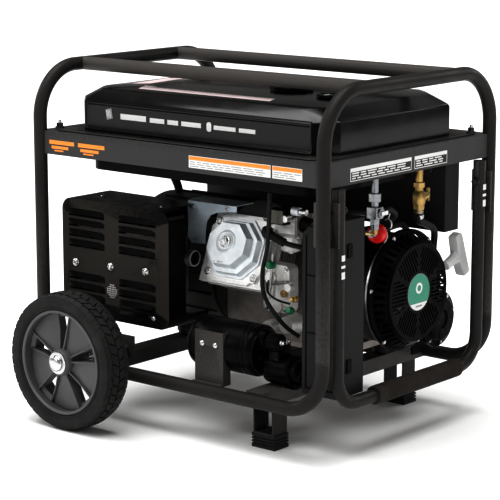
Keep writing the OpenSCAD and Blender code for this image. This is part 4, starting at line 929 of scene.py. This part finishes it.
def make_carburettor():
    b = Build()
    b.box((114, -104, 390), (170, -62, 423), "cast_aluminium")
    b.lathe([(19, 0), (19, 8), (16.5, 12), (16.5, 30), (19, 34), (19, 44), (16, 46)],
            "cast_aluminium", at((126, -84, 406), X, Z), 36)
    b.prism(round_rect(-28, 28, -24, 24, 8), 170, 175.8, "cast_dark",
            Matrix(((0, 0, 1, 0), (1, 0, 0, -85), (0, 1, 0, 405), (0, 0, 0, 1))))
    b.lathe([(6, 352), (17, 353.5), (20, 358), (20, 384), (17, 388)], "cast_aluminium",
            Matrix.Translation((140, -85, 0)), 36)
    b.bolt((140, -85, 352.4), (0, 0, -1), 5)
    b.box((122, -131, 411), (158, -111, 441), "black_plastic")
    b.box((124, -132.5, 413), (156, -130.5, 439), "olive_plate")
    b.rod((160, -112, 424), (160, -132, 424), 7, "bolt_steel", 20)
    b.rod((165, -112, 438), (182, -112, 438), 8.5, "zinc", 20)
    b.rod((182, -112, 438), (198, -112, 438), 6, "bolt_steel", 20)
    b.rod((176, -92, 410), (197.5, -92, 410), 16, "black_plastic", 28, 13)
    b.rod((118, -128, 392), (118, -100, 392), 4, "steel", 14)
    b.box((113, -128, 376), (123, -125, 396), "steel")
    for spot in ((173, -62, 424), (173, -108, 386)):
        b.bolt(Vector(spot) + Vector((3, 0, 0)), X, 4.5)
    b.done("carburettor_body", "frame", ["carburettor"], 0.9)


def make_plug():
    b = Build()
    seat = on_cylinder(172) @ Matrix.Translation((46, 40 * CYL_SIDE, 0)) @ Matrix.Rotation(
        35 * DEG, 4, "Y")
    b.lathe([(8.6, 0), (8.6, 12), (6, 13), (6, 30)], "bolt_steel", seat, 24)
    b.hexagon(seat, 10.5, 12, 22, "bolt_steel")
    b.lathe([(9.5, 24), (12, 27), (12, 40), (10.5, 42), (12, 44), (12, 54), (9, 56)], "rubber",
            seat, 28)
    route = [(103, -113, 391), (112, -130, 398), (136, -142, 392), (166, -138, 380),
             (200, -112, 370), (220, -60, 362), (224, -31.2, 360)]
    b.tube(route, 5, "rubber", 16, 6)
    b.tube(route[1:4], 8.2, "braid", 16, 8, lambda i, r: r + (0.5 if i % 2 else -0.3))
    b.done("plug_and_lead", "frame", ["spark_plug"], 0.5)


def make_box_details():
    b = Build()
    lo, hi = box_mm("air_cleaner_box")
    x0, x1, y0 = lo.x - SHIFT, hi.x - SHIFT, lo.y
    for z in (lo.z + 44, hi.z - 70):
        b.box((x1 - 0.4, y0 + 30, z), (x1 + 3.2, y0 + 44, z + 26), "black_plastic")
    for z in (lo.z + 12, lo.z + 118, lo.z + 226, hi.z - 14):
        b.box((x0 + 8, y0 - 1.6, z), (x1 - 8, y0 + 0.2, z + 2.4), "black_plastic")
    b.box((x0 + 8, y0 - 1.6, lo.z + 12), (x0 + 10.4, y0 + 0.2, hi.z - 30), "black_plastic")
    b.box((x1 - 10.4, y0 - 1.6, lo.z + 12), (x1 - 8, y0 + 0.2, hi.z - 12), "black_plastic")
    b.done("air_cleaner_ribs", "frame", bevel=0.7)


# ---- recoil starter -----------------------------------------------------------------

def make_recoil_cover():
    b = Build()
    lo, hi = box_mm("recoil_cover")
    x0 = lo.x - SHIFT
    depth = hi.x - lo.x
    place = at((x0, CRANK_Y, CRANK_Z), X, Z)
    b.lathe([(114, 0), (120, 0), (120, 5), (117.5, 7.5), (113.5, 8.5), (113.5, 6)],
            "black_plastic", place, 96, ring=True)
    b.lathe([(117.5, -5), (119.3, -5), (119.3, -0.8), (117.5, -0.8)], "steel", place, 96,
            ring=True)
    skirt = [(113.8, 7.5), (99, depth - 5)]
    cells = 44
    for i in range(cells):
        a0 = 2 * math.pi * i / cells
        a1 = 2 * math.pi * (i + 1) / cells
        middle = math.degrees((a0 + a1) / 2) % 360
        plain = min(abs(middle - 180), 360 - abs(middle - 180)) < 9 or abs(middle - 290.5) < 14
        cuts = ((0, 1, a0, a0 + (a1 - a0) * 0.5), (0, 0.1, a0, a1), (0.86, 1, a0, a1))
        if plain:
            cuts = ((0, 1, a0, a1),)
        for t0, t1, b0, b1 in cuts:
            loops = []
            for angle in (b0, (b0 + b1) / 2, b1):
                ring = []
                for t, inset in ((t0, 0), (t1, 0), (t1, 2.6), (t0, 2.6)):
                    r = skirt[0][0] + (skirt[1][0] - skirt[0][0]) * t - inset
                    z = skirt[0][1] + (skirt[1][1] - skirt[0][1]) * t
                    ring.append((*polar(r, angle), z))
                loops.append(ring)
            b.loft(loops, "black_plastic", place)
    holes = []
    for g in range(6):
        turn = g * 60 * DEG + 30 * DEG
        for k in range(-4, 5):
            off = k * 7.4
            start = max(math.sqrt(42 ** 2 - min(abs(off), 41) ** 2),
                        abs(off) / math.tan(27 * DEG) + 4)
            stop = math.sqrt(88 ** 2 - off ** 2)
            if stop - start < 8:
                continue
            corners = [(start, off - 1.9), (stop, off - 1.9), (stop, off + 1.9),
                       (start, off + 1.9)]
            holes.append([(x * math.cos(turn) - y * math.sin(turn),
                           x * math.sin(turn) + y * math.cos(turn)) for x, y in corners])
    b.plate(ring_points(96, 72), holes, depth - 3, depth, "black_plastic", place)
    b.lathe([(99, depth - 6), (99, depth - 4.5), (96.5, depth - 0.6), (94, depth),
             (94, depth - 4)], "black_plastic", place, 96, ring=True)
    b.lathe([(8, 1), (8, depth - 2.5)], "cast_dark", place, 24)
    for k in range(6):
        angle = (k * 60 + 22) * DEG
        spot = place @ Vector((*polar(115.5, angle), 6.8))
        b.bolt(spot, X, 3.6)
    b.done("recoil_shell", "frame", ["recoil_cover"], 0.5)
    b = Build()
    label = place @ Matrix.Translation((0, 0, depth - 0.3))
    b.lathe([(36.6, 0), (36.6, 0.5), (35.9, 0.9), (0, 0.9)], "grey_mark", label, 64)
    cut = 21.5
    up = place.to_3x3().inverted() @ Z
    base = math.atan2(up.y, up.x)
    edge = math.acos(cut / 35.6)
    green = [base + (math.pi - edge) * (2 * k / 40 - 1) for k in range(41)]
    b.prism([polar(35.6, a) for a in green], 0.7, 1.15, "green", label)
    white = [base + math.pi + edge * (2 * k / 16 - 1) for k in range(17)]
    b.prism([polar(35.6, a) for a in white], 0.7, 1.15, "white_mark", label)
    b.prism(ring_points(11, 40, 0, 8 * math.cos(base), 8 * math.sin(base)), 1, 1.5,
            "white_mark", label)
    b.prism(ring_points(6, 32, 0, 8 * math.cos(base), 8 * math.sin(base)), 1.3, 1.6, "green",
            label)
    across = base + math.pi / 2
    cx, cy = -27.5 * math.cos(base), -27.5 * math.sin(base)
    bar = [(cx + u * 10 * math.cos(across) + v * 1.6 * math.cos(base),
            cy + u * 10 * math.sin(across) + v * 1.6 * math.sin(base))
           for u, v in ((-1, -1), (1, -1), (1, 1), (-1, 1))]
    b.prism(bar, 1.1, 1.5, "grey_mark", label)
    b.done("recoil_badge", "frame", bevel=0)


ROPE = at((310, CRANK_Y, CRANK_Z), (0, math.cos(20.5 * DEG), math.sin(20.5 * DEG)), X)
ROPE_UP = 1 if (ROPE @ Vector((0, 1, 0)) - ROPE @ Vector((0, 0, 0))).z > 0 else -1


def make_grip_t():
    b = Build()
    place = ROPE @ Matrix.Translation((0, -14 * ROPE_UP, 0))
    loops = []
    for z, rx, ry in ((122, 8.5, 8.5), (124, 10, 10), (150, 10.5, 10.5), (160, 11, 15)):
        loops.append([(rx * math.cos(2 * math.pi * k / 28), ry * math.sin(2 * math.pi * k / 28), z)
                      for k in range(28)])
    b.loft(loops, "grip_plastic", place)
    bar = []
    for w, z0, z1 in ((-46, 166, 181), (-42, 163, 184), (-20, 160.5, 184), (0, 158, 184),
                      (20, 160.5, 184), (42, 163, 184), (46, 166, 181)):
        half = 10.5 if abs(w) < 44 else 8.5
        bar.append([(-half, w, z0), (half, w, z0), (half, w, z1), (-half, w, z1)])
    b.loft(bar, "grip_plastic", place)
    b.done("pull_handle", "pull_grip", ["recoil_grip"], 3.2, 3)


# ---- valves and hoses ---------------------------------------------------------------

def valve_stack(b, x, y, levels, finish):
    """A fitting turned and hexed along Z: levels are (z0, z1, radius, is_hex)."""
    for z0, z1, r, is_hex in levels:
        if is_hex:
            b.hexagon(Matrix.Translation((x, y, 0)), r, z0, z1, finish)
        else:
            b.lathe([(r, z0), (r, z1)], finish, Matrix.Translation((x, y, 0)), 28)


def make_valves():
    b = Build()
    x, y = 305, -40
    valve_stack(b, x, y, ((408, 418, 8, False), (418, 430, 10, True), (450, 462, 7, False),
                          (462, 478, 13, True), (478, 517, 6.5, False)), "nickel")
    b.prism(round_rect(-13, 13, -12, 12, 4), 430, 452, "nickel", Matrix.Translation((x, y, 0)))
    b.rod((x + 13, y, 441), (x + 17, y, 441), 9, "nickel")
    b.box((x + 16, y - 4, 437), (x + 20, y + 16, 445), "bolt_steel")
    b.rod((x, y + 12, 441), (x, y + 24, 441), 6, "nickel")
    b.hexagon(at((x, y + 13, 441), Y), 9, 0, 7, "nickel")
    b.rod((x, y, 400), (x, y, 409), 6, "brass")
    b.done("petrol_tap", "frame", ["fuel_valve"], 0.7)
    b = Build()
    x, y = 300, 112
    valve_stack(b, x, y, ((418, 427, 8, False), (427, 438, 12, True), (460, 470, 8, False),
                          (470, 480, 12, True), (480, 517, 7, False)), "brass")
    b.lathe([(11, 436), (12.5, 440), (12.5, 458), (9, 463)], "brass",
            Matrix.Translation((x, y, 0)), 28)
    b.rod((x, y + 10, 452), (x, y + 28, 452), 7, "brass")
    b.hexagon(at((x, y + 12, 452), Y), 9.5, 0, 7, "brass")
    b.box((x - 3, y + 28, 440), (x + 3, y + 33, 466), "brass")
    for z in (418.5, 422, 425.5):
        b.lathe([(9, z), (10, z + 0.8), (9, z + 1.8)], "bolt_steel",
                Matrix.Translation((x, y, 0)), 24)
    b.done("gas_tap", "frame", ["lpg_valve"], 0.7)


def clamp(b, spot, axis, r):
    """A worm-drive hose clip."""
    place = at(spot, axis)
    b.lathe([(r, -3.5), (r + 1, -3.5), (r + 1, 3.5), (r, 3.5)], "bolt_steel", place, 28, ring=True)
    b.box((-4, r, -3.5), (4, r + 5, 3.5), "bolt_steel", place)


def make_hoses():
    b = Build()
    b.tube([(300, 112, 417.8), (300, 112, 404), (294, 146, 392), (286, 186, 372),
            (274, 202, 330), (266, 212, 285), (268, 218, 260), (268, 218, 243.2)], 7, "rubber")
    b.tube([(305, -8.8, 441), (305, 6, 441), (298, 34, 424), (270, 20, 402), (238, -50, 396),
            (214, -80, 402), (206, -92, 408), (198.3, -92, 410)], 6, "rubber")
    b.tube([(239.8, 205, 196), (224, 203, 200), (206, 196, 250), (192, 180, 330),
            (188, 110, 404), (182, 0, 420), (174, -40, 411), (173, -55.8, 410)], 8, "rubber")
    clamp(b, (300, 112, 411), Z, 7.2)
    clamp(b, (268, 218, 250), Z, 7.2)
    b.done("hose_set", "frame", ["hoses"], 0)
    b = Build()
    b.lathe([(11, -6), (16, -4), (19, 2), (19.5, 10), (17, 16), (12, 19), (9, 26), (6, 30)],
            "red_plastic", at((298, -27, 397), (-0.2, 1, 0.05), Z), 36)
    b.rod((300, -33, 397), (300, -46, 400), 5, "bolt_steel", 18)
    b.rod((300, -46, 400), (300, -66, 404), 3.4, "brass", 16)
    b.hexagon(at((300, -40, 399), (0, -1, 0.15)), 7.5, 0, 6, "bolt_steel")
    b.tube([(292, 4, 398), (286, 40, 400), (276, 90, 396), (262, 130, 372), (250, 160, 330)], 6,
           "braid", 14, 8, lambda i, r: r + (0.4 if i % 2 else 0))
    b.tube([(300, -66, 404), (280, -100, 402), (250, -112, 398), (206, -112, 388)], 4.4,
           "rubber", 14)
    b.lathe([(9.2, -1.2), (10.4, -1.2), (10.4, 1.2), (9.2, 1.2)], "white_plastic",
            at((289, 26, 408), (0.2, 1, 0), Z), 28, ring=True)
    b.tube([(289, 26, 419), (294, 24, 430), (292, 16, 438)], 1.1, "white_plastic", 8)
    b.tube([(289, 20, 398), (296, 14, 386), (298, 2, 376)], 1.1, "white_plastic", 8)
    b.done("battery_cable", "frame", bevel=0)


def make_harness():
    b = Build()
    b.tube([(-328, 213.8, 470), (-328, 196, 474), (-322, 140, 516), (-304, 84, 530),
            (-297, 60, 500), (-293, 55, 450), (-284, 60, 420), (-282, 62, 407.2)], 8.6, "braid",
           18, 10, lambda i, r: r + (0.5 if i % 2 else -0.2))
    b.tube([(-290, 52, 470), (-262, 84, 480), (-200, 130, 478), (-150, 196, 470),
            (-146, 213.8, 468)], 3, "rubber", 12)
    b.done("wiring_loom", "frame", ["harness"], 0)


def make_regulator():
    b = Build()
    place = at((240, 218, 186), X, Z)
    b.lathe([(40, 0), (51, 3), (51, 28), (57, 30), (57, 38), (50, 39.5), (44, 42), (41, 48),
             (20, 48), (18, 45), (0, 45)], "black_plastic", place, 64)
    for k in range(8):
        a = (k * 45 + 10) * DEG
        spot = place @ Vector((*polar(50.5, a), 37.8))
        b.bolt(spot, X, 3.4)
        b.box((22, -1.5, 44), (40, 1.5, 48.5), "black_plastic",
              place @ Matrix.Rotation(a + 0.39, 4, "Z"))
    b.rod((268, 218, 227), (268, 218, 243), 8, "brass")
    b.hexagon(Matrix.Translation((268, 218, 228)), 10, 0, 8, "brass")
    b.box((240, 178, 112), (244, 238, 190), "black_plastic")
    b.done("gas_regulator", "frame", ["lpg_regulator"], 0.6)


# ---- round the engine ---------------------------------------------------------------

def make_canister():
    b = Build()
    y, z = -198, 180
    place = at((10, y, z), X, Z)
    b.lathe([(40, 0), (46, 1), (49, 4), (50, 9), (50, 20), (48.8, 22), (50, 24), (50, 128),
             (48.6, 130), (50, 132), (50, 138), (48.6, 140), (50, 142), (50, 149), (47, 154),
             (43.6, 157), (43, 160), (30, 160), (24, 156), (0, 156)], "black_paint", place, 72)
    b.rod((166, y, z + 20), (184, y, z + 20), 8, "black_plastic", 24, 7)
    b.lathe([(20, 0), (20, 9), (17, 14), (8, 18), (0, 18.5)], "black_plastic",
            at((166, y - 4, z + 26), X, Z), 36)
    b.done("canister_body", "frame", ["canister"], 0.6)
    b = Build()
    for x in (55, 88):
        b.screw((x, -250.1, z + 8), (0, -1, 0), 6)
    b.done("canister_screws", "frame", bevel=0.3)


def make_starter_motor():
    b = Build()
    y, z = -186, 149
    place = at((172, y, z), X, Z)
    b.lathe([(24, 0), (29, 2), (30, 5), (30, 16), (28.8, 17.5), (30, 19), (30, 58), (27, 61.5),
             (22, 62), (22, 71), (19, 74), (0, 74)], "black_paint", place, 56)
    for k in range(6):
        a = k * 60 * DEG
        b.box((29, -3, 6), (31.2, 3, 56), "black_paint", place @ Matrix.Rotation(a, 4, "Z"))
    b.lathe([(15, 0), (18, 1.5), (18, 26), (16, 28), (12, 34), (0, 34)], "black_plastic",
            at((186, y - 20, z + 54), X, Z), 40)
    b.box((190, -214, 170), (212, -176, 200), "black_paint")
    b.box((171, -196, 132), (175, CRANK_Y - 97, 168), "black_paint")
    b.rod((219, y - 28, z + 58), (228, y - 28, z + 58), 3.2, "bolt_steel", 16)
    b.rod((219, y - 12, z + 58), (228, y - 12, z + 58), 3.2, "bolt_steel", 16)
    b.hexagon(at((219, y - 28, z + 58), X), 5.5, 0, 4, "bolt_steel")
    b.hexagon(at((219, y - 12, z + 58), X), 5.5, 0, 4, "bolt_steel")
    b.box((176, -206, 128), (196, -182, 136), "cast_dark")
    b.prism(round_rect(214, 246, -204, -168, 8), 118, 128, "black_plastic")
    b.done("starter_body", "frame", ["starter_motor"], 0.7)


def make_case_details():
    """Ribs, bolts and flanges on the alternator, crankcase and fan housing."""
    b = Build()
    for k in range(20):
        a = k * 18 * DEG
        place = at((0, CRANK_Y, CRANK_Z), X, Z) @ Matrix.Rotation(a, 4, "Z")
        b.box((133.5, -1.4, -292), (138, 1.4, -92), "black_paint", place)
    ring = at((-300, CRANK_Y, CRANK_Z), X, Z)
    for k in range(4):
        a = (45 + 90 * k) * DEG
        spot = Vector((-301, CRANK_Y + 126 * math.cos(a), CRANK_Z + 126 * math.sin(a)))
        b.rod(spot, spot + Vector((12, 0, 0)), 8, "black_paint", 24)
        b.bolt(spot - Vector((0.2, 0, 0)), (-1, 0, 0), 5)
    b.lathe([(135, 218), (137.5, 218), (137.5, 225), (135, 225)], "black_paint", ring, 72,
            ring=True)
    b.done("alternator_ribs", "frame", bevel=0.5)
    b = Build()
    place = at((0, CRANK_Y, CRANK_Z), X, Z)
    b.lathe([(96, -72), (99.5, -72), (99.5, -64), (96, -64)], "cast_dark", place, 72, ring=True)
    b.lathe([(96, 190), (100.5, 190), (100.5, 204), (96, 204)], "cast_dark", place, 72, ring=True)
    for k in range(8):
        a = (k * 45 + 12) * DEG
        spot = Vector((190, CRANK_Y + 99 * math.cos(a), CRANK_Z + 99 * math.sin(a)))
        b.rod(spot, spot + Vector((14, 0, 0)), 6, "cast_dark", 20)
    for k in range(4):
        x = 60 + 22 * k
        b.box((x, CRANK_Y - 98.5, 176), (x + 3, CRANK_Y - 94, 262), "cast_dark")
    b.bolt((110, CRANK_Y - 96.4, 200), (0, -1, 0), 7)
    b.bolt((60, CRANK_Y - 96.4, 186), (0, -1, 0), 8)
    b.done("crankcase_flanges", "frame", bevel=0.6)


# ---- far side -----------------------------------------------------------------------

OUTLET_X = (-250, -170, -90, -10)
BUTTON_X = 165
SWITCH_X = 230


def make_panel_details():
    lo, hi = box_mm("control_panel")
    y, zc = hi.y, (lo.z + hi.z) / 2
    b = Build()
    for x in OUTLET_X:
        face = at((x, y, zc), Y, Z)
        b.lathe([(24, -12), (24, 0), (30, 0), (30, 3.4), (28.5, 5), (24, 5), (23.4, 3.2),
                 (0, 3.2)], "black_plastic", face, 48)
        for k in range(3):
            turn = face @ Matrix.Rotation(k * 120 * DEG, 4, "Z")
            b.box((10, -3.5, 2.8), (13, 3.5, 3.6), "rubber", turn)
        for a in (45, 225):
            spot = face @ Vector((*polar(26.4, a * DEG), 4.8))
            b.screw(spot, Y, 2)
    b.done("outlet_faces", "frame", ["outlets"], 0.4)
    b = Build()
    face = at((SWITCH_X, y, zc), Y, Z)
    n = 60
    loops = [[(*polar(base - (0 if (k // 3) % 2 else groove), 2 * math.pi * k / n), z)
              for k in range(n)]
             for z, base, groove in ((0.5, 19, 0.9), (7.5, 19, 0.9), (8.6, 16.5, 0))]
    b.loft(loops, "black_plastic", face)
    b.lathe([(6, -14), (6, 1)], "black_plastic", face, 24)
    b.box((-17, -4, 8), (17, 4, 17), "black_plastic", face)
    b.box((4, -0.8, 16.9), (16, 0.8, 17.3), "white_mark", face)
    b.done("engine_switch_knob", "engine_switch", ["engine_switch"], 0.8)
    b = Build()
    face = at((BUTTON_X, y, zc), Y, Z)
    b.lathe([(9, -8), (9, 4.8), (8, 6), (6.5, 5.2), (0, 4.8)], "red_plastic", face, 36)
    b.done("start_button_cap", "start_button", ["start_button"], 0.4)
    b = Build()
    rng = random.Random(9)
    b.lathe([(11.5, 0), (13.5, 0), (13.5, 2.6), (12.5, 3.4), (11.5, 3.4)], "bolt_steel", face, 36,
            ring=True)
    x0, x1 = lo.x - SHIFT, hi.x - SHIFT
    for x in (x0 + 12, x1 - 12):
        for z in (lo.z + 12, hi.z - 12):
            b.screw((x, y - 0.1, z), Y, 4.5)
    for x in (*OUTLET_X, 85, BUTTON_X, SWITCH_X):
        wide = rng.uniform(12, 22)
        b.box((x - wide, y - 0.1, zc + 38), (x + wide, y + 0.3, zc + 42), "white_mark")
        b.box((x - wide * 0.6, y - 0.1, zc - 45), (x + wide * 0.6, y + 0.3, zc - 42.5),
              "grey_mark")
    b.prism([(72, zc - 24), (98, zc - 24), (98, zc - 20.6), (72, zc - 20.6)], -y, -y - 0.1,
            "grey_mark", Matrix(((1, 0, 0, 0), (0, 0, -1, 0), (0, 1, 0, 0), (0, 0, 0, 1))))
    b.plate([(x, z) for x, z in round_rect(69, 101, -28, 28, 3)],
            [[(72.4, -20.6), (97.6, -20.6), (97.6, 20.6), (72.4, 20.6)]], -y - 2, -y,
            "black_plastic", Matrix(((1, 0, 0, 0), (0, 0, -1, 0), (0, 1, 0, zc), (0, 0, 0, 1))))
    b.done("panel_trim", "frame", bevel=0.3)


def make_battery_details():
    b = Build()
    lo, hi = box_mm("battery")
    x0, x1 = lo.x - SHIFT, hi.x - SHIFT
    b.box((x0 - 1.5, lo.y - 1.5, 140), (x1 + 1.5, hi.y + 1.5, 146), "steel")
    b.box((x0 + 30, hi.y - 0.2, 156), (x1 - 30, hi.y + 0.5, 198), "grey_mark")
    for k, x in enumerate((x0 + 18, x1 - 18)):
        b.box((x - 9, lo.y + 2, 224), (x + 9, lo.y + 20, 229), "red_plastic" if k else "rubber")
    b.tube([(x1 - 18, lo.y + 12, 228), (x1 + 12, lo.y + 6, 262), (220, 168, 300),
            (250, 160, 330)], 5, "rubber", 14)
    b.done("battery_trim", "frame", bevel=0.5)


def make_pieces():
    make_tyre(NEAR, "tread_tyre_near", "tyre_near", "wheel_near")
    make_tyre(FAR, "tread_tyre_far", "tyre_far", "wheel_far")
    make_hub(NEAR, "spoked_hub_near", "hub_near", "wheel_near")
    make_hub(FAR, "spoked_hub_far", "hub_far", "wheel_far")
    for make in (make_axle_caps, make_welds, make_marks, make_foot_bolts, make_grip,
                 make_handle_bolts, make_tank, make_tank_marks, make_cap_and_gauge,
                 make_tank_bolts, make_guard, make_valve_cover, make_heat_shield,
                 make_head_details, make_engine_trim, make_carburettor, make_plug, make_box_details,
                 make_recoil_cover, make_grip_t, make_valves, make_hoses, make_harness,
                 make_regulator, make_canister, make_starter_motor, make_case_details,
                 make_panel_details, make_battery_details):
        make()


make_pieces()

# ---- stage ------------------------------------------------------------------------

def make_floor():
    mesh = bpy.data.meshes.new("floor")
    half = 120.0
    corners = [(-half, -half, 0), (half, -half, 0), (half, half, 0), (-half, half, 0)]
    mesh.from_pydata(corners, [], [(0, 1, 2, 3)])
    floor = bpy.data.objects.new("floor", mesh)
    bpy.context.scene.collection.objects.link(floor)
    mat = surface("floor_paper", (0.92, 0.92, 0.915), 0.7, 0.0, 0.01, 0.02, 300.0, 0.02)
    mesh.materials.append(mat)


def make_light(name, place, target, size, power):
    data = bpy.data.lights.new(name, "AREA")
    data.shape = "RECTANGLE"
    data.size, data.size_y = size
    data.energy = power
    light = bpy.data.objects.new(name, data)
    light.matrix_world = Matrix.Translation(place) @ (
        Vector(place) - Vector(target)).to_track_quat("Z", "Y").to_matrix().to_4x4()
    bpy.context.scene.collection.objects.link(light)


def make_world():
    world = bpy.data.worlds.new("studio")
    world.use_nodes = True
    background = world.node_tree.nodes["Background"]
    background.inputs["Color"].default_value = (1, 0.98, 0.96, 1)
    background.inputs["Strength"].default_value = 0.17
    bpy.context.scene.world = world


def make_camera():
    azimuth, pitch = 39.82 * DEG, -11.07 * DEG
    data = bpy.data.cameras.new("camera")
    data.sensor_width = 36.0
    data.lens = 140.6
    data.clip_end = 100.0
    camera = bpy.data.objects.new("camera", data)
    camera.location = (2.448 + SHIFT * MM, -2.978, 1.079)
    camera.rotation_euler = (math.pi / 2 + pitch, 0, azimuth)
    bpy.context.scene.collection.objects.link(camera)
    bpy.context.scene.camera = camera


def make_sun():
    """Even light over the whole floor, so that it stays pale out to the edges."""
    data = bpy.data.lights.new("sky", "SUN")
    data.energy = 3.3
    data.angle = 60 * DEG
    sun = bpy.data.objects.new("sky", data)
    sun.rotation_euler = (6 * DEG, -4 * DEG, 0)
    bpy.context.scene.collection.objects.link(sun)


def make_stage():
    make_floor()
    make_world()
    make_sun()
    make_camera()
    centre = (0, 0, 0.4)
    make_light("key", (-1.6, -3.4, 2.2), centre, (1.6, 1.6), 32)
    make_light("side", (3.6, -0.9, 1.5), centre, (0.9, 2.0), 9)
    make_light("left", (-3.6, -0.4, 1.6), centre, (1.2, 1.2), 22)
    make_light("back", (1.2, 3.4, 1.9), centre, (1.6, 1.6), 24)
    bpy.context.scene.view_settings.view_transform = "Standard"
    bpy.context.scene.view_settings.exposure = 0.45
    bpy.context.scene.view_settings.gamma = 0.74


make_stage()
